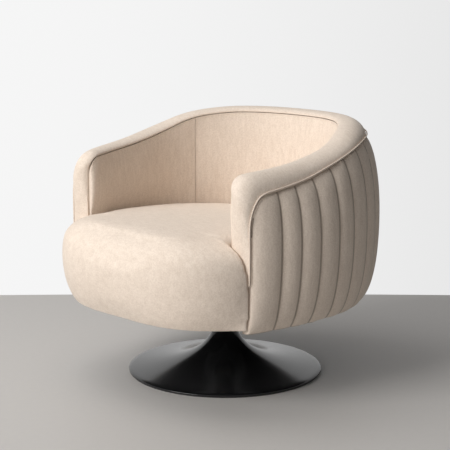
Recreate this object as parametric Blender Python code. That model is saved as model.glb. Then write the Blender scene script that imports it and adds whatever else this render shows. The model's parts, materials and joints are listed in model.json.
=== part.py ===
"""Swivel armchair: a padded tub on a turned trumpet base.

Metres, +Z up, the front towards -Y. The origin is on the floor, on the swivel axis.
"""

import math

import bmesh
import bpy
from mathutils import Vector

# Clearances
GAP = 0.0003  # between pieces that rest on each other
RIB_GAP = 0.0009  # between a rib and the curved panel outside it
POST_GAP = 0.0035  # between an arm's post and the panel that turns round it
SEAM_GAP = 0.0009  # between the padded pieces that meet at a seam
RAIL_GAP = 0.0016  # between the band and the rails under it
SEAT_CLEARANCE = 0.0020  # between the seat and the inside of the tub

# Tub in plan. Each outline is half an oval behind PLAN_CENTRE and runs on along the arms in front of it.
PLAN_CENTRE = 0.015
TUB_WIDTH = 0.776
TUB_BACK = 0.376
FRONT_NARROWING = 0.074  # of each side, from the widest place to the arm fronts
ARM_FRONT = -0.236
WELT_INSET = 0.040
HEM_INSET = 0.049
HEM_FRONT_INSET = 0.012
WALL_TOP = 0.070
FRONT_BAND = 0.073
ARM_POWER = 2.0
WELT_POWER = 2.2
INSIDE_POWER = 2.4

# Tub heights
BODY_BOTTOM = 0.195
WIDEST_HEIGHT = 0.410
BACK_HEIGHT = 0.651
ARM_HEIGHT = 0.562
RIM_REFERENCE = 0.330
# Share of the way from the middle of the back to the arm's front, and share of the drop reached there
RIM_FALL = ((0, 0), (0.30, 0), (0.44, 0.10), (0.52, 0.23), (0.60, 0.45), (0.70, 0.665), (0.80, 0.825), (1, 1))
INNER_SEAM_DROP = 0.010
# Share of the same way, and the outer seam's depth below the crown
OUTER_SEAM_DROP = (
    (0, 0.032), (0.33, 0.032), (0.50, 0.026), (0.60, 0.021), (0.70, 0.025), (0.82, 0.035), (1, 0.046),
)
# Length along the arm and height of the ovals in which the seams turn down its front
INNER_CORNER = (0.030, 0.038)
OUTER_CORNER = (0.042, 0.077)
UNDER_CORNER_POWER = 1.84  # what lies under the band cuts these ovals a little shorter
BULGE_POWER_TOP = 2.35
BULGE_POWER_BOTTOM = 3.0
EDGE_TUCK = 0.28  # share of the bulge that only shows close to the wall's top and bottom edges
EDGE_TUCK_POWER = 12

# Padded pieces of the tub
PANEL_THICKNESS = 0.018
PAD_THICKNESS = 0.024
PAD_CROWN = 0.009
PAD_ROUNDING = (0.038, 0.018)  # length and depth in which the arms' pads round off towards the arm fronts
BAND_EDGE = 0.004
BAND_FRONT_CROWN = 0.012
BAND_PRESSED_SHARE = 0.2
BAND_FREE = 0.445
BAND_PRESSED = 0.412
BAND_BOTTOM = 0.310
WELT_RADIUS = 0.0016
WELT_STANDOFF = 0.0024
FLUTE_DEPTH = 0.006
FRONT_PANEL = 0.074
# Distance behind the front panel's front edge, and how far the panel swells out there
FRONT_SWELL = (
    (0, -0.002), (0.0025, 0.0025), (0.008, 0.0055), (0.020, 0.0075), (0.037, 0.006), (0.055, 0.0025),
)
ARM_FLUTES = 3
FIRST_FLUTE = 0.049
FLUTE_GROWTH = 1.10
BACK_FLUTES = 17
BACK_FLUTES_END = 84.0

# Seat
SEAT_LEVEL = 0.393
SEAT_FALL = 0.050
SEAT_CROWN = 0.018
SEAT_CROWN_CENTRE = -0.06
SEAT_CROWN_REACH = (0.38, 0.42)
SEAT_FRONT = 0.391
SEAT_WRAP = 0.030  # past the arm fronts, on each side
SEAT_FRONT_POWER = 3.0
SEAT_HEM = 0.201
COVER = 0.003
SIDE_HEM_RISE = 0.0045
FOAM_GAP = 0.0030
FOAM_SEAT = 0.0024
EDGE_REACH = 0.090
# Inset from the seat's edge in EDGE_REACH shares, and share of the way down
FRONT_PROFILE = (
    (1, 0), (0.67, 0.03), (0.39, 0.075), (0.20, 0.135), (0.07, 0.215),
    (0, 0.36), (0.01, 0.55), (0.08, 0.72), (0.22, 0.87), (0.42, 1),
)
WING_PROFILE = FRONT_PROFILE[:6] + ((0, 0.55), (0.01, 0.72), (0.04, 0.87), (0.09, 1))
WING_POWER = 8  # how closely the front keeps its own profile towards its wings
SIDE_PROFILE = (
    (1, 0), (0.67, 0), (0.39, 0), (0.20, 0.02), (0.08, 0.07),
    (0, 0.17), (0, 0.35), (0, 0.55), (0, 0.78), (0, 1),
)
FRONT_COLUMNS = 6

# Seat box
BOARD_BOTTOM = 0.2060
BOARD_THICKNESS = 0.018
RAIL_HEIGHT = 0.0757
RAIL_THICKNESS = 0.018
RAIL_INSET = 0.004
BOX_CORNER = 0.010
FRONT_PADDING = 0.0460
SPRING_RADIUS = 0.0018
SPRING_SWING = 0.020
SPRING_PITCH = 0.110
SPRING_COUNT = 4
SPRING_BENDS = 8
RIB_THICKNESS = 0.018
POST_THICKNESS = 0.055
TOP_RAIL_THICKNESS = 0.018
DUST_THICKNESS = 0.0015
DUST_INSET = 0.003

# Base
BASE_RADIUS = 0.250
TRUMPET_WALL = 0.0025
NECK_RADIUS = 0.0290
NECK_TOP = 0.1180
RING_HEIGHT = 0.0027
RING_WIDTH = 0.033
RING_INSET = 0.003
RING_CHAMFER = 0.001
BALLAST_RADIUS = 0.232
BALLAST_EDGE = 0.0045
BALLAST_THICKNESS = 0.0090
BALLAST_SLOPE_RADIUS = 0.190
BALLAST_BOSS_HEIGHT = 0.0125
BALLAST_BOSS_RADIUS = 0.070
BALLAST_BOSS_CHAMFER = 0.005
TUBE_RADIUS = 0.0240
TUBE_WALL = 0.0045
TUBE_TOP = 0.1500
FLANGE_RADIUS = 0.055
FLANGE_THICKNESS = 0.004
TUBE_WELD = 0.004
COLLAR_RADIUS = 0.0320
# Inset from the collar's radius and height, up its outside
COLLAR_PROFILE = (
    (0, 0), (0, 0.006), (0.003, 0.007), (0.003, 0.010), (0.001, 0.011), (0.001, 0.016), (0.004, 0.018),
)
BALLAST_BOLTS = 3
BALLAST_BOLT_CIRCLE = 0.042
BALLAST_BOLT = 0.0040
BALLAST_BOLT_LENGTH = 0.0140

# Bearing and spindle
SPINDLE_RADIUS = 0.0127
RUNNING_FIT = 0.0003
RACE_THICKNESS = 0.0030
RACE_RADIUS = 0.0290
BALL_RADIUS = 0.0030
BALL_CIRCLE = 0.0220
BALL_COUNT = 6
CAGE_THICKNESS = 0.0024
STUD_RADIUS = 0.0080
STUD_CLEARANCE = 0.0020
SHOULDER_HEIGHT = 0.012
SHOULDER_STEP = 0.003
SPINDLE_FLANGE_RADIUS = 0.045
SPINDLE_FLANGE_EDGE = 0.004
SPINDLE_FLANGE_FLARE = 0.006
NUT_RADIUS = 0.0135
NUT_HEIGHT = 0.0070
WASHER_THICKNESS = 0.003
UPPER_BUSH_LENGTH = 0.035
LOWER_BUSH_LENGTH = 0.030
LOWER_BUSH_RISE = 0.0140
PLATE_SIZE = 0.180
PLATE_THICKNESS = 0.0030
PLATE_BOLT_SPACING = 0.140
PLATE_BOLT = 0.0035
PLATE_BOLT_LENGTH = 0.0200
PLATE_CHAMFER = 0.015

# Steps round a turned piece
FINE_STEPS = 40
STEPS = 24
SMALL_STEPS = 8


# Materials

def material(name, colour, roughness, metallic=0.0):
    """A Principled material."""
    made = bpy.data.materials.new(name)
    made.use_nodes = True
    shader = made.node_tree.nodes["Principled BSDF"]
    shader.inputs["Base Color"].default_value = (*colour, 1.0)
    shader.inputs["Roughness"].default_value = roughness
    shader.inputs["Metallic"].default_value = metallic
    return made


FINISHES = {
    "black_gloss": ((0.012, 0.012, 0.013), 0.22, 0.0),
    "cream_cloth": ((0.74, 0.66, 0.57), 0.95, 0.0),
    "foam": ((0.82, 0.78, 0.62), 0.90, 0.0),
    "plywood": ((0.60, 0.44, 0.27), 0.70, 0.0),
    "steel": ((0.55, 0.56, 0.58), 0.35, 1.0),
    "cast_iron": ((0.10, 0.10, 0.11), 0.60, 0.8),
    "brass": ((0.72, 0.55, 0.25), 0.35, 1.0),
    "plastic": ((0.05, 0.05, 0.05), 0.50, 0.0),
    "black_cloth": ((0.03, 0.03, 0.03), 0.95, 0.0),
}


# Mesh building

def add_object(name, mesh, finish):
    """An object with its own material, smooth where it is round."""
    mesh.shade_smooth()
    mesh.set_sharp_from_angle(angle=math.radians(35))
    made = bpy.data.objects.new(name, mesh)
    made.data.materials.clear()
    made.data.materials.append(material(name, *FINISHES[finish]))
    bpy.context.scene.collection.objects.link(made)
    return made


def finish_mesh(name, work):
    """The bmesh as a mesh whose faces point outwards."""
    bmesh.ops.remove_doubles(work, verts=work.verts, dist=1e-6)
    bmesh.ops.recalc_face_normals(work, faces=work.faces)
    mesh = bpy.data.meshes.new(name)
    work.to_mesh(mesh)
    work.free()
    return mesh


def turned(name, outline, finish, steps=STEPS):
    """A closed outline of (radius, height) points turned round Z."""
    work = bmesh.new()
    verts = [work.verts.new((radius, 0, height)) for radius, height in outline]
    edges = [work.edges.new((a, b)) for a, b in zip(verts, verts[1:] + verts[:1])]
    bmesh.ops.spin(
        work, geom=edges, cent=(0, 0, 0), axis=(0, 0, 1), angle=math.tau, steps=steps, use_merge=True
    )
    on_axis = [edge for edge in work.edges if all(math.hypot(v.co.x, v.co.y) < 1e-7 for v in edge.verts)]
    bmesh.ops.delete(work, geom=on_axis, context="EDGES")
    return add_object(name, finish_mesh(name, work), finish)


def solid_disc(name, outline, finish, steps=STEPS):
    """An open outline that starts and ends on the axis, turned round Z."""
    work = bmesh.new()
    verts = [work.verts.new((radius, 0, height)) for radius, height in outline]
    edges = [work.edges.new((a, b)) for a, b in zip(verts, verts[1:])]
    bmesh.ops.spin(
        work, geom=edges, cent=(0, 0, 0), axis=(0, 0, 1), angle=math.tau, steps=steps, use_merge=True
    )
    return add_object(name, finish_mesh(name, work), finish)


def lofted(name, sections, finish):
    """Closed sections, each a list of points, joined in order and capped at both ends."""
    work = bmesh.new()
    rings = [[work.verts.new(point) for point in section] for section in sections]
    for near, far in zip(rings, rings[1:]):
        for i, corner in enumerate(near):
            after = (i + 1) % len(near)
            work.faces.new((corner, near[after], far[after], far[i]))
    work.faces.new(rings[0][::-1])
    work.faces.new(rings[-1])
    bmesh.ops.triangulate(work, faces=[face for face in work.faces if len(face.verts) > 4])
    return add_object(name, finish_mesh(name, work), finish)


def sheeted(name, front, back, finish, backed=None):
    """A solid between two grids of as many rows.

    The back grid may have fewer columns: backed lists the front columns that they lie behind.
    """
    backed = backed or list(range(len(front[0])))
    work = bmesh.new()
    grids = [[[work.verts.new(point) for point in row] for row in grid] for grid in (front, back)]
    for grid in grids:
        for low, high in zip(grid, grid[1:]):
            for i in range(len(low) - 1):
                work.faces.new((low[i], low[i + 1], high[i + 1], high[i]))
    for front_row, back_row in ((grids[0][0], grids[1][0]), (grids[0][-1], grids[1][-1])):
        for i, (start, end) in enumerate(zip(backed, backed[1:])):
            work.faces.new(front_row[start : end + 1] + [back_row[i + 1], back_row[i]])
    for side in (0, -1):
        for row in range(len(front) - 1):
            near, far = [(grid[row][side], grid[row + 1][side]) for grid in grids]
            work.faces.new((near[0], near[1], far[1], far[0]))
    bmesh.ops.triangulate(work, faces=[face for face in work.faces if len(face.verts) > 4])
    return add_object(name, finish_mesh(name, work), finish)


def plate(name, outline, bottom, top, finish):
    """A flat plate with an outline of (x, y) points."""
    low = [Vector((x, y, bottom)) for x, y in outline]
    high = [Vector((x, y, top)) for x, y in outline]
    return lofted(name, [low, high], finish)


def round_outline(radius, steps, centre=(0, 0), start=0.0):
    """Points (x, y) round a circle, the first at some share of a step."""
    turns = [math.tau * (i + start) / steps for i in range(steps)]
    return [(centre[0] + radius * math.cos(a), centre[1] + radius * math.sin(a)) for a in turns]


def cut(piece, cutter):
    """Cuts one object out of another and hides the cutter."""
    cutter.hide_render = True
    cutter.display_type = "WIRE"
    hole = piece.modifiers.new(cutter.name, "BOOLEAN")
    hole.operation = "DIFFERENCE"
    hole.solver = "EXACT"
    hole.object = cutter


# Tub outlines

class Outline:
    """A plan outline: a back half-oval and arms that narrow to a given width at the arm fronts."""

    def __init__(self, half_width, back, front_half_width, power):
        self.half_width = half_width
        self.back = back
        self.power = power
        narrowed = 1 - (front_half_width / half_width) ** power
        self.front = (PLAN_CENTRE - ARM_FRONT) / narrowed ** (1 / power)

    def radius(self, angle):
        """Distance from the plan's centre in a direction counted from the back."""
        side, ahead = abs(math.sin(angle)), math.cos(angle)
        depth, power = (self.back, 2.0) if ahead > 0 else (self.front, self.power)
        return ((side / self.half_width) ** power + (abs(ahead) / depth) ** power) ** (-1 / power)

    def half_width_at(self, y):
        """Half the outline's width at one y."""
        depth, power = (self.back, 2.0) if y > PLAN_CENTRE else (self.front, self.power)
        return self.half_width * (1 - (abs(y - PLAN_CENTRE) / depth) ** power) ** (1 / power)


HALF_WIDTH = TUB_WIDTH / 2
HALF_FRONT = HALF_WIDTH - FRONT_NARROWING
SEAT_HALF_WIDTH = HALF_FRONT + SEAT_WRAP
WIDEST = Outline(HALF_WIDTH, TUB_BACK, HALF_FRONT, ARM_POWER)
WELT = Outline(HALF_WIDTH - WELT_INSET, TUB_BACK - WELT_INSET, HALF_FRONT - 0.001, WELT_POWER)
HEM = Outline(HALF_WIDTH - HEM_INSET, TUB_BACK - HEM_INSET, HALF_FRONT - HEM_FRONT_INSET, ARM_POWER)
INSIDE = Outline(
    HALF_WIDTH - WELT_INSET - WALL_TOP,
    TUB_BACK - WELT_INSET - WALL_TOP,
    HALF_FRONT - FRONT_BAND,
    INSIDE_POWER,
)


QUARTER = RIM_REFERENCE * math.pi / 2


class Station:
    """An upright section through the wall, a signed distance along it from the middle of the back.

    It is radial round the back, and at one y on an arm.
    """

    def __init__(self, path):
        self.path = path
        self.side = math.copysign(1, path)
        self.on_arm = abs(path) > QUARTER
        self.angle = path / RIM_REFERENCE
        self.y = PLAN_CENTRE + QUARTER - abs(path)

    def across(self):
        """Unit direction out of the tub, in plan."""
        if self.on_arm:
            return Vector((self.side, 0, 0))
        return Vector((math.sin(self.angle), math.cos(self.angle), 0))

    def on(self, outline, inward=0.0):
        """The point of an outline at this station, moved into the tub."""
        if self.on_arm:
            return Vector((self.side * (outline.half_width_at(self.y) - inward), self.y, 0))
        centre = Vector((0, PLAN_CENTRE, 0))
        return centre + self.across() * (outline.radius(self.angle) - inward)

    def way(self):
        """Share of the way from the middle of the back to the arm's front."""
        return min(abs(self.path) / (QUARTER + PLAN_CENTRE - ARM_FRONT), 1.0)


def arm_station(side, y):
    return Station(side * (QUARTER + PLAN_CENTRE - y))


def between(first, second, share):
    """A station part of the way from one to another."""
    return Station(first.path + (second.path - first.path) * share)


def with_halves(stations):
    """The stations with one more halfway between each two."""
    made = [stations[0]]
    for first, second in zip(stations, stations[1:]):
        made += [between(first, second, 0.5), second]
    return made


def smooth(table, x):
    """Value at x of a smooth curve through a table of (x, value)."""
    if x <= table[0][0]:
        return table[0][1]
    if x >= table[-1][0]:
        return table[-1][1]
    i = max(k for k in range(len(table) - 1) if table[k][0] <= x)

    def slope(k):
        low, high = max(k - 1, 0), min(k + 1, len(table) - 1)
        return (table[high][1] - table[low][1]) / (table[high][0] - table[low][0])

    (x0, y0), (x1, y1) = table[i], table[i + 1]
    width = x1 - x0
    t = (x - x0) / width
    first = (2 * t**3 - 3 * t**2 + 1) * y0 + (t**3 - 2 * t**2 + t) * width * slope(i)
    return first + (3 * t**2 - 2 * t**3) * y1 + (t**3 - t**2) * width * slope(i + 1)


def crown_height(station):
    return BACK_HEIGHT - (BACK_HEIGHT - ARM_HEIGHT) * smooth(RIM_FALL, station.way())


def inner_seam(station):
    return crown_height(station) - INNER_SEAM_DROP


def outer_seam(station):
    return crown_height(station) - smooth(OUTER_SEAM_DROP, station.way())


def below_seam(station, seam, corner, depth):
    """Height of a line at some depth under a seam, which rounds the arm's front top corner with it."""
    length, drop = corner
    start = arm_station(station.side, ARM_FRONT + length)
    past = (abs(station.path) - abs(start.path)) / (length - depth)
    if past <= 0:
        return seam(station) - depth
    power = UNDER_CORNER_POWER if depth else 2.0
    return seam(start) - drop + (drop - depth) * max(1 - past**power, 0.0) ** (1 / power)


def pad_face(station, inward=0.0):
    """Plan point of the tub's inside, which rounds off towards an arm's front."""
    length, depth = PAD_ROUNDING
    past = min(max((ARM_FRONT + length - station.y) / length, 0.0), 1.0)
    return station.on(INSIDE, inward - depth * (1 - math.sqrt(1 - past**2)))


def chord_height(station, point, depth):
    """Height, at some depth under the line between the two seams, above a plan point."""
    inner, outer = pad_face(station), station.on(WELT)
    share = (point - inner).dot(outer - inner) / (outer - inner).length_squared
    low = below_seam(station, inner_seam, INNER_CORNER, depth)
    high = below_seam(station, outer_seam, OUTER_CORNER, depth)
    return low + (high - low) * share


def outside(station, height, inward=0.0):
    """A point of the tub's outside at one height."""
    if height > WIDEST_HEIGHT:
        top = outer_seam(station) - UNDER_BAND
        way = min((height - WIDEST_HEIGHT) / (top - WIDEST_HEIGHT), 1.0)
        power, other = BULGE_POWER_TOP, WELT
    else:
        way = (WIDEST_HEIGHT - height) / (WIDEST_HEIGHT - BODY_BOTTOM)
        power, other = BULGE_POWER_BOTTOM, HEM
    share = (1 - EDGE_TUCK) * way**power + EDGE_TUCK * way**EDGE_TUCK_POWER
    point = station.on(WIDEST, inward).lerp(station.on(other, inward), share)
    point.z = height
    return point


def inside(station, height, inward=0.0):
    """A point of the tub's inside at one height."""
    point = pad_face(station, inward)
    point.z = height
    return point


def pad_back(station, height, clearance=0.0):
    """A point of the back of the inside pads at one height, or a little behind it."""
    point = station.on(INSIDE, -PAD_THICKNESS - clearance)
    point.z = height
    return point


# Stations of the channels' seams

def arm_seams(side):
    """The channel seams of one arm, from its front panel backwards."""
    seams = [ARM_FRONT + FRONT_PANEL]
    width = FIRST_FLUTE
    for _ in range(ARM_FLUTES):
        seams.append(seams[-1] + width)
        width *= FLUTE_GROWTH
    return [arm_station(side, y) for y in seams]


def back_seams():
    """The channel seams of the back, from the left to the right."""
    end = RIM_REFERENCE * math.radians(BACK_FLUTES_END)
    return [Station(-end + 2 * end * i / BACK_FLUTES) for i in range(BACK_FLUTES + 1)]


LEFT_SEAMS = arm_seams(-1)
RIGHT_SEAMS = arm_seams(1)
BACK_SEAMS = back_seams()
SIDE_FLUTES = 2  # back channels on each side that belong to a side panel
CORNER_TURNS = (0.0, 24.0, 45.0, 62.0, 77.0, 90.0)
UNDER_BAND = BAND_EDGE + SEAM_GAP


def corner_ys():
    """y of the band's frames round an arm's front top corner, from the top forwards."""
    return [ARM_FRONT + OUTER_CORNER[0] * (1 - math.sin(math.radians(turn))) for turn in CORNER_TURNS]


def corner_stations(side):
    """Stations of a piece under the band, from its front edge back to where the top corner starts."""
    edge = ARM_FRONT + UNDER_BAND
    behind = [y for y in corner_ys() if y > edge + 0.001][::-1]
    return [arm_station(side, y) for y in [edge, edge + (behind[0] - edge) * 0.3] + behind]


def side_runs():
    """(name, side, seams of the arm and of the back's end) for each side."""
    left = LEFT_SEAMS + BACK_SEAMS[: SIDE_FLUTES + 1]
    right = RIGHT_SEAMS + BACK_SEAMS[::-1][: SIDE_FLUTES + 1]
    return (("left", -1, left), ("right", 1, right))


def middle_run():
    return BACK_SEAMS[SIDE_FLUTES : len(BACK_SEAMS) - SIDE_FLUTES]


def trimmed(stations, gap):
    """The stations with the last moved back, so that the next piece can start where it was."""
    last = stations[-1]
    return stations[:-1] + [Station(last.path + math.copysign(gap, last.path))]


# Outside panels

COLUMNS = (0.0, 0.25, 0.5, 0.75)
# Share of a panel's height, how strongly its seams are pulled in there, and how strongly its front swells out
PANEL_ROWS = (
    (0.0, 0.3, 0.3), (0.035, 0.6, 0.6), (0.11, 0.9, 0.9), (0.28, 1.0, 1.0),
    (0.5, 1.0, 1.0), (0.72, 1.0, 1.0), (0.92, 0.8, 0.6), (1.0, 0.45, 0.0),
)


def fluted_columns(seams):
    """(station, how far it is pulled in) across the channels between the seams."""
    columns = []
    for first, second in zip(seams, seams[1:]):
        for share in COLUMNS:
            depth = 1 - math.sin(math.pi * share) ** 0.6 if share else 1.0
            station = between(first, second, share) if share else first
            columns.append((station, depth * FLUTE_DEPTH))
    columns.append((seams[-1], FLUTE_DEPTH))
    return columns


def front_columns(side):
    """The plain panel at the arm's front, from the band's seam to the first channel."""
    stations = corner_stations(side) + [arm_station(side, post_front() + POST_THICKNESS)]
    edge = stations[0].y
    return [(station, -smooth(FRONT_SWELL, station.y - edge)) for station in stations]


def panel_heights(station, inward=0.0):
    """Heights of a panel's rows of points, on its outside or further in."""
    top = chord_height(station, station.on(WELT, inward), UNDER_BAND)
    return [BODY_BOTTOM + share * (top - BODY_BOTTOM) for share, _pull, _swell in PANEL_ROWS]


def panel_back(station, height, clearance=RIB_GAP):
    """A point just inside a panel's back, which is straight between its rows."""
    heights = panel_heights(station, PANEL_THICKNESS)
    row = max(k for k in range(len(heights) - 1) if heights[k] <= height)
    low, high = heights[row], heights[row + 1]
    inward = PANEL_THICKNESS + clearance
    return outside(station, low, inward).lerp(outside(station, high, inward), (height - low) / (high - low))


def outside_panel(name, columns, plain=0):
    """A padded panel whose channels are pulled in along their seams, after some plain columns."""
    backed = list(range(plain)) + list(range(plain, len(columns), len(COLUMNS) // 2))
    front = [[] for _ in PANEL_ROWS]
    back = [[] for _ in PANEL_ROWS]
    for i, (station, depth) in enumerate(columns):
        for row, (height, (_share, pull, swell)) in enumerate(zip(panel_heights(station), PANEL_ROWS)):
            front[row].append(outside(station, height, depth * (pull if depth > 0 else swell)))
        if i in backed:
            for row, height in enumerate(panel_heights(station, PANEL_THICKNESS)):
                back[row].append(outside(station, height, PANEL_THICKNESS))
    return sheeted(name, front, back, "cream_cloth", backed)


def make_outside_panels():
    for name, side, run in side_runs():
        plain = front_columns(side)
        outside_panel(f"outside_{name}", plain + fluted_columns(trimmed(run, SEAM_GAP)), len(plain))
    outside_panel("outside_back", fluted_columns(middle_run()))


# Inside pads

PAD_ROWS = (0.0, 0.15, 0.4, 0.65, 0.88, 1.0)


def inside_pad(name, stations):
    """A padded panel that swells between its seams and goes down behind the seat."""
    front, back = [], []
    low = rail_top() + RIB_GAP
    stations = with_halves(stations)
    last = len(stations) - 1
    for row in (None, *PAD_ROWS):
        inner_row, outer_row = [], []
        for i, station in enumerate(stations):
            top = below_seam(station, inner_seam, INNER_CORNER, BAND_EDGE + RAIL_GAP)
            swell_start = seat_top(*pad_face(station).xy) + 0.010
            height = low if row is None else swell_start + row * (top - swell_start)
            swell = 0.0 if row is None else PAD_CROWN * math.sin(math.pi * row) ** 0.7
            swell *= math.sin(math.pi * i / last) ** 0.5 if 0 < i < last else 0.0
            inner_row.append(inside(station, height, swell))
            under = chord_height(station, pad_back(station, 0), BAND_EDGE + RAIL_GAP) - top
            height += 0.0 if row is None else under * row
            outer_row.append(pad_back(station, height))
        front.append(inner_row)
        back.append(outer_row)
    return sheeted(name, front, back, "cream_cloth")


def make_inside_pads():
    for name, side, run in side_runs():
        inside_pad(f"inside_{name}_arm", corner_stations(side) + trimmed(run, SEAM_GAP))
    inside_pad("inside_back", middle_run())


# Band over the rim and its welt

BAND_SHARES = (0.0, 0.08, 0.28, 0.55, 0.80, 0.94, 1.0)
BAND_PEAK = 0.5  # share of the band's width, from its inner seam, where it is highest
BAND_ROLL = 1.6  # power of its curve from there to the outer seam
FRONT_STEPS = (0.2, 0.4, 0.7, 1.0)


def rim_stations():
    """Stations over the top of the wall, from the left arm's corner to the right arm's."""
    left = [arm_station(-1, ARM_FRONT + OUTER_CORNER[0])] + LEFT_SEAMS
    right = [arm_station(1, ARM_FRONT + OUTER_CORNER[0])] + RIGHT_SEAMS
    return with_halves(left + BACK_SEAMS + right[::-1])


def front_crown(height):
    """How far the band's front stands out. It is pressed flat where the seat's front covers it."""
    free = (height - BAND_PRESSED) / (BAND_FREE - BAND_PRESSED)
    return BAND_FRONT_CROWN * (BAND_PRESSED_SHARE + (1 - BAND_PRESSED_SHARE) * min(max(free, 0.0), 1.0))


def seam_up(station, corner):
    """Unit direction off the band, where its seam rounds the arm's front top corner."""
    length, drop = corner
    past = min(max((ARM_FRONT + length - station.y) / length, 0.0), 1.0)
    return Vector((0, -past * drop, math.sqrt(1 - past**2) * length)).normalized()


def arm_front_frames(side):
    """The band's frames round an arm's front top corner and down its front."""
    made = []
    for turn, y in list(zip(CORNER_TURNS, corner_ys()))[1:]:
        station = arm_station(side, y)
        points = [inside(station, below_seam(station, inner_seam, INNER_CORNER, 0)),
                  outside(station, below_seam(station, outer_seam, OUTER_CORNER, 0))]
        ups = [seam_up(station, INNER_CORNER), seam_up(station, OUTER_CORNER)]
        made.append((*points, *ups, INNER_SEAM_DROP + (BAND_FRONT_CROWN - INNER_SEAM_DROP) * turn / 90))
    edge, ahead = arm_station(side, ARM_FRONT), Vector((0, -1, 0))
    for share in FRONT_STEPS:
        inner, outer = [point.z + (BAND_BOTTOM - point.z) * share for point in points]
        crown = front_crown((inner + outer) / 2)
        made.append((inside(edge, inner), outside(edge, outer), ahead, ahead, crown))
    return made


def rim_frames():
    """(inner seam, outer seam, upward direction at each, crown above the inner seam) along the band."""
    up = Vector((0, 0, 1))
    top = []
    for station in rim_stations():
        inner, outer = inside(station, inner_seam(station)), outside(station, outer_seam(station))
        top.append((inner, outer, up, up, INNER_SEAM_DROP))
    return arm_front_frames(-1)[::-1] + top + arm_front_frames(1)


def band_point(frame, share):
    """A point of the band's top, which rises to its peak and rolls over to the outer seam."""
    inner, outer, inner_up, outer_up, crown = frame
    across = outer - inner
    up = inner_up.lerp(outer_up, share).normalized()
    if share < BAND_PEAK:
        full, past, power = crown, 1 - share / BAND_PEAK, 2.0
    else:
        full, past, power = crown - across.dot(outer_up), (share - BAND_PEAK) / (1 - BAND_PEAK), BAND_ROLL
    drop = full * (1 - (1 - past**power) ** (1 / power))
    return inner + across * share + up * (crown - drop - share * across.dot(up))


def make_rim_band():
    sections = []
    for frame in rim_frames():
        inner, outer, inner_up, outer_up, _crown = frame
        over = [band_point(frame, share) for share in BAND_SHARES]
        low_inner, low_outer = inner - inner_up * BAND_EDGE, outer - outer_up * BAND_EDGE
        sections.append(over + [low_outer, low_inner.lerp(low_outer, 0.5), low_inner])
    return lofted("rim_band", sections, "cream_cloth")


def tube_along(name, points, radius, finish):
    """A round bar along points, as a bevelled curve with filled ends."""
    curve = bpy.data.curves.new(name, "CURVE")
    curve.dimensions = "3D"
    curve.bevel_depth = radius
    curve.bevel_resolution = 0
    curve.use_fill_caps = True
    spline = curve.splines.new("POLY")
    spline.points.add(len(points) - 1)
    for target, point in zip(spline.points, points):
        target.co = (*point, 1.0)
    curve.materials.append(material(name, *FINISHES[finish]))
    made = bpy.data.objects.new(name, curve)
    bpy.context.scene.collection.objects.link(made)
    return made


def make_rim_welt():
    """The welt lies just outside the band's outer seam."""
    path = []
    for inner, outer, _inner_up, up, _crown in rim_frames():
        across = outer - inner
        across -= up * across.dot(up)
        path.append(outer + (across.normalized() + up * 0.4).normalized() * WELT_STANDOFF)
    return tube_along("rim_welt", path, WELT_RADIUS, "cream_cloth")


# Seat

def rail_top():
    """Height of the seat box's rails."""
    return BOARD_BOTTOM + BOARD_THICKNESS + GAP + RAIL_HEIGHT


def notch():
    """y of the plane where the seat's front meets the arms' band."""
    return ARM_FRONT - BAND_FRONT_CROWN * BAND_PRESSED_SHARE - SEAT_CLEARANCE


def seat_top(x, y):
    """Height of the seat's top."""
    reach_x, reach_y = SEAT_CROWN_REACH
    away = (x / reach_x) ** 2 + ((y - SEAT_CROWN_CENTRE) / reach_y) ** 2
    return SEAT_LEVEL - SEAT_FALL * y + SEAT_CROWN * max(1 - away, 0.0) ** 2


def front_edge(x, inset=0.0):
    """y of the seat's front outline."""
    half, depth = SEAT_HALF_WIDTH - inset, SEAT_FRONT - inset
    return -depth * (1 - min(abs(x) / half, 1.0) ** SEAT_FRONT_POWER) ** (1 / SEAT_FRONT_POWER)


def front_end():
    """y where what is inside the seat's front ends, in front of its cover's back."""
    return notch() - COVER - FOAM_GAP


def front_points(inset, stop):
    """Points of the seat's front outline, moved in, from the left to the right, no further back than stop."""
    half, depth = SEAT_HALF_WIDTH - inset, SEAT_FRONT - inset
    end = half * (1 - (abs(stop) / depth) ** SEAT_FRONT_POWER) ** (1 / SEAT_FRONT_POWER)
    made = []
    for i in range(-FRONT_COLUMNS, FRONT_COLUMNS + 1):
        x = end * math.sin(math.pi / 2 * i / FRONT_COLUMNS)
        made.append(Vector((x, front_edge(x, inset), 0)))
    return made


def front_profile(column):
    """The seat's profile at one column of its front, which stays fuller underneath towards the wings."""
    wing = (abs(column) / FRONT_COLUMNS) ** WING_POWER
    pairs = zip(FRONT_PROFILE, WING_PROFILE)
    return [(share + (full - share) * wing, down) for (share, down), (full, _down) in pairs]


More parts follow.
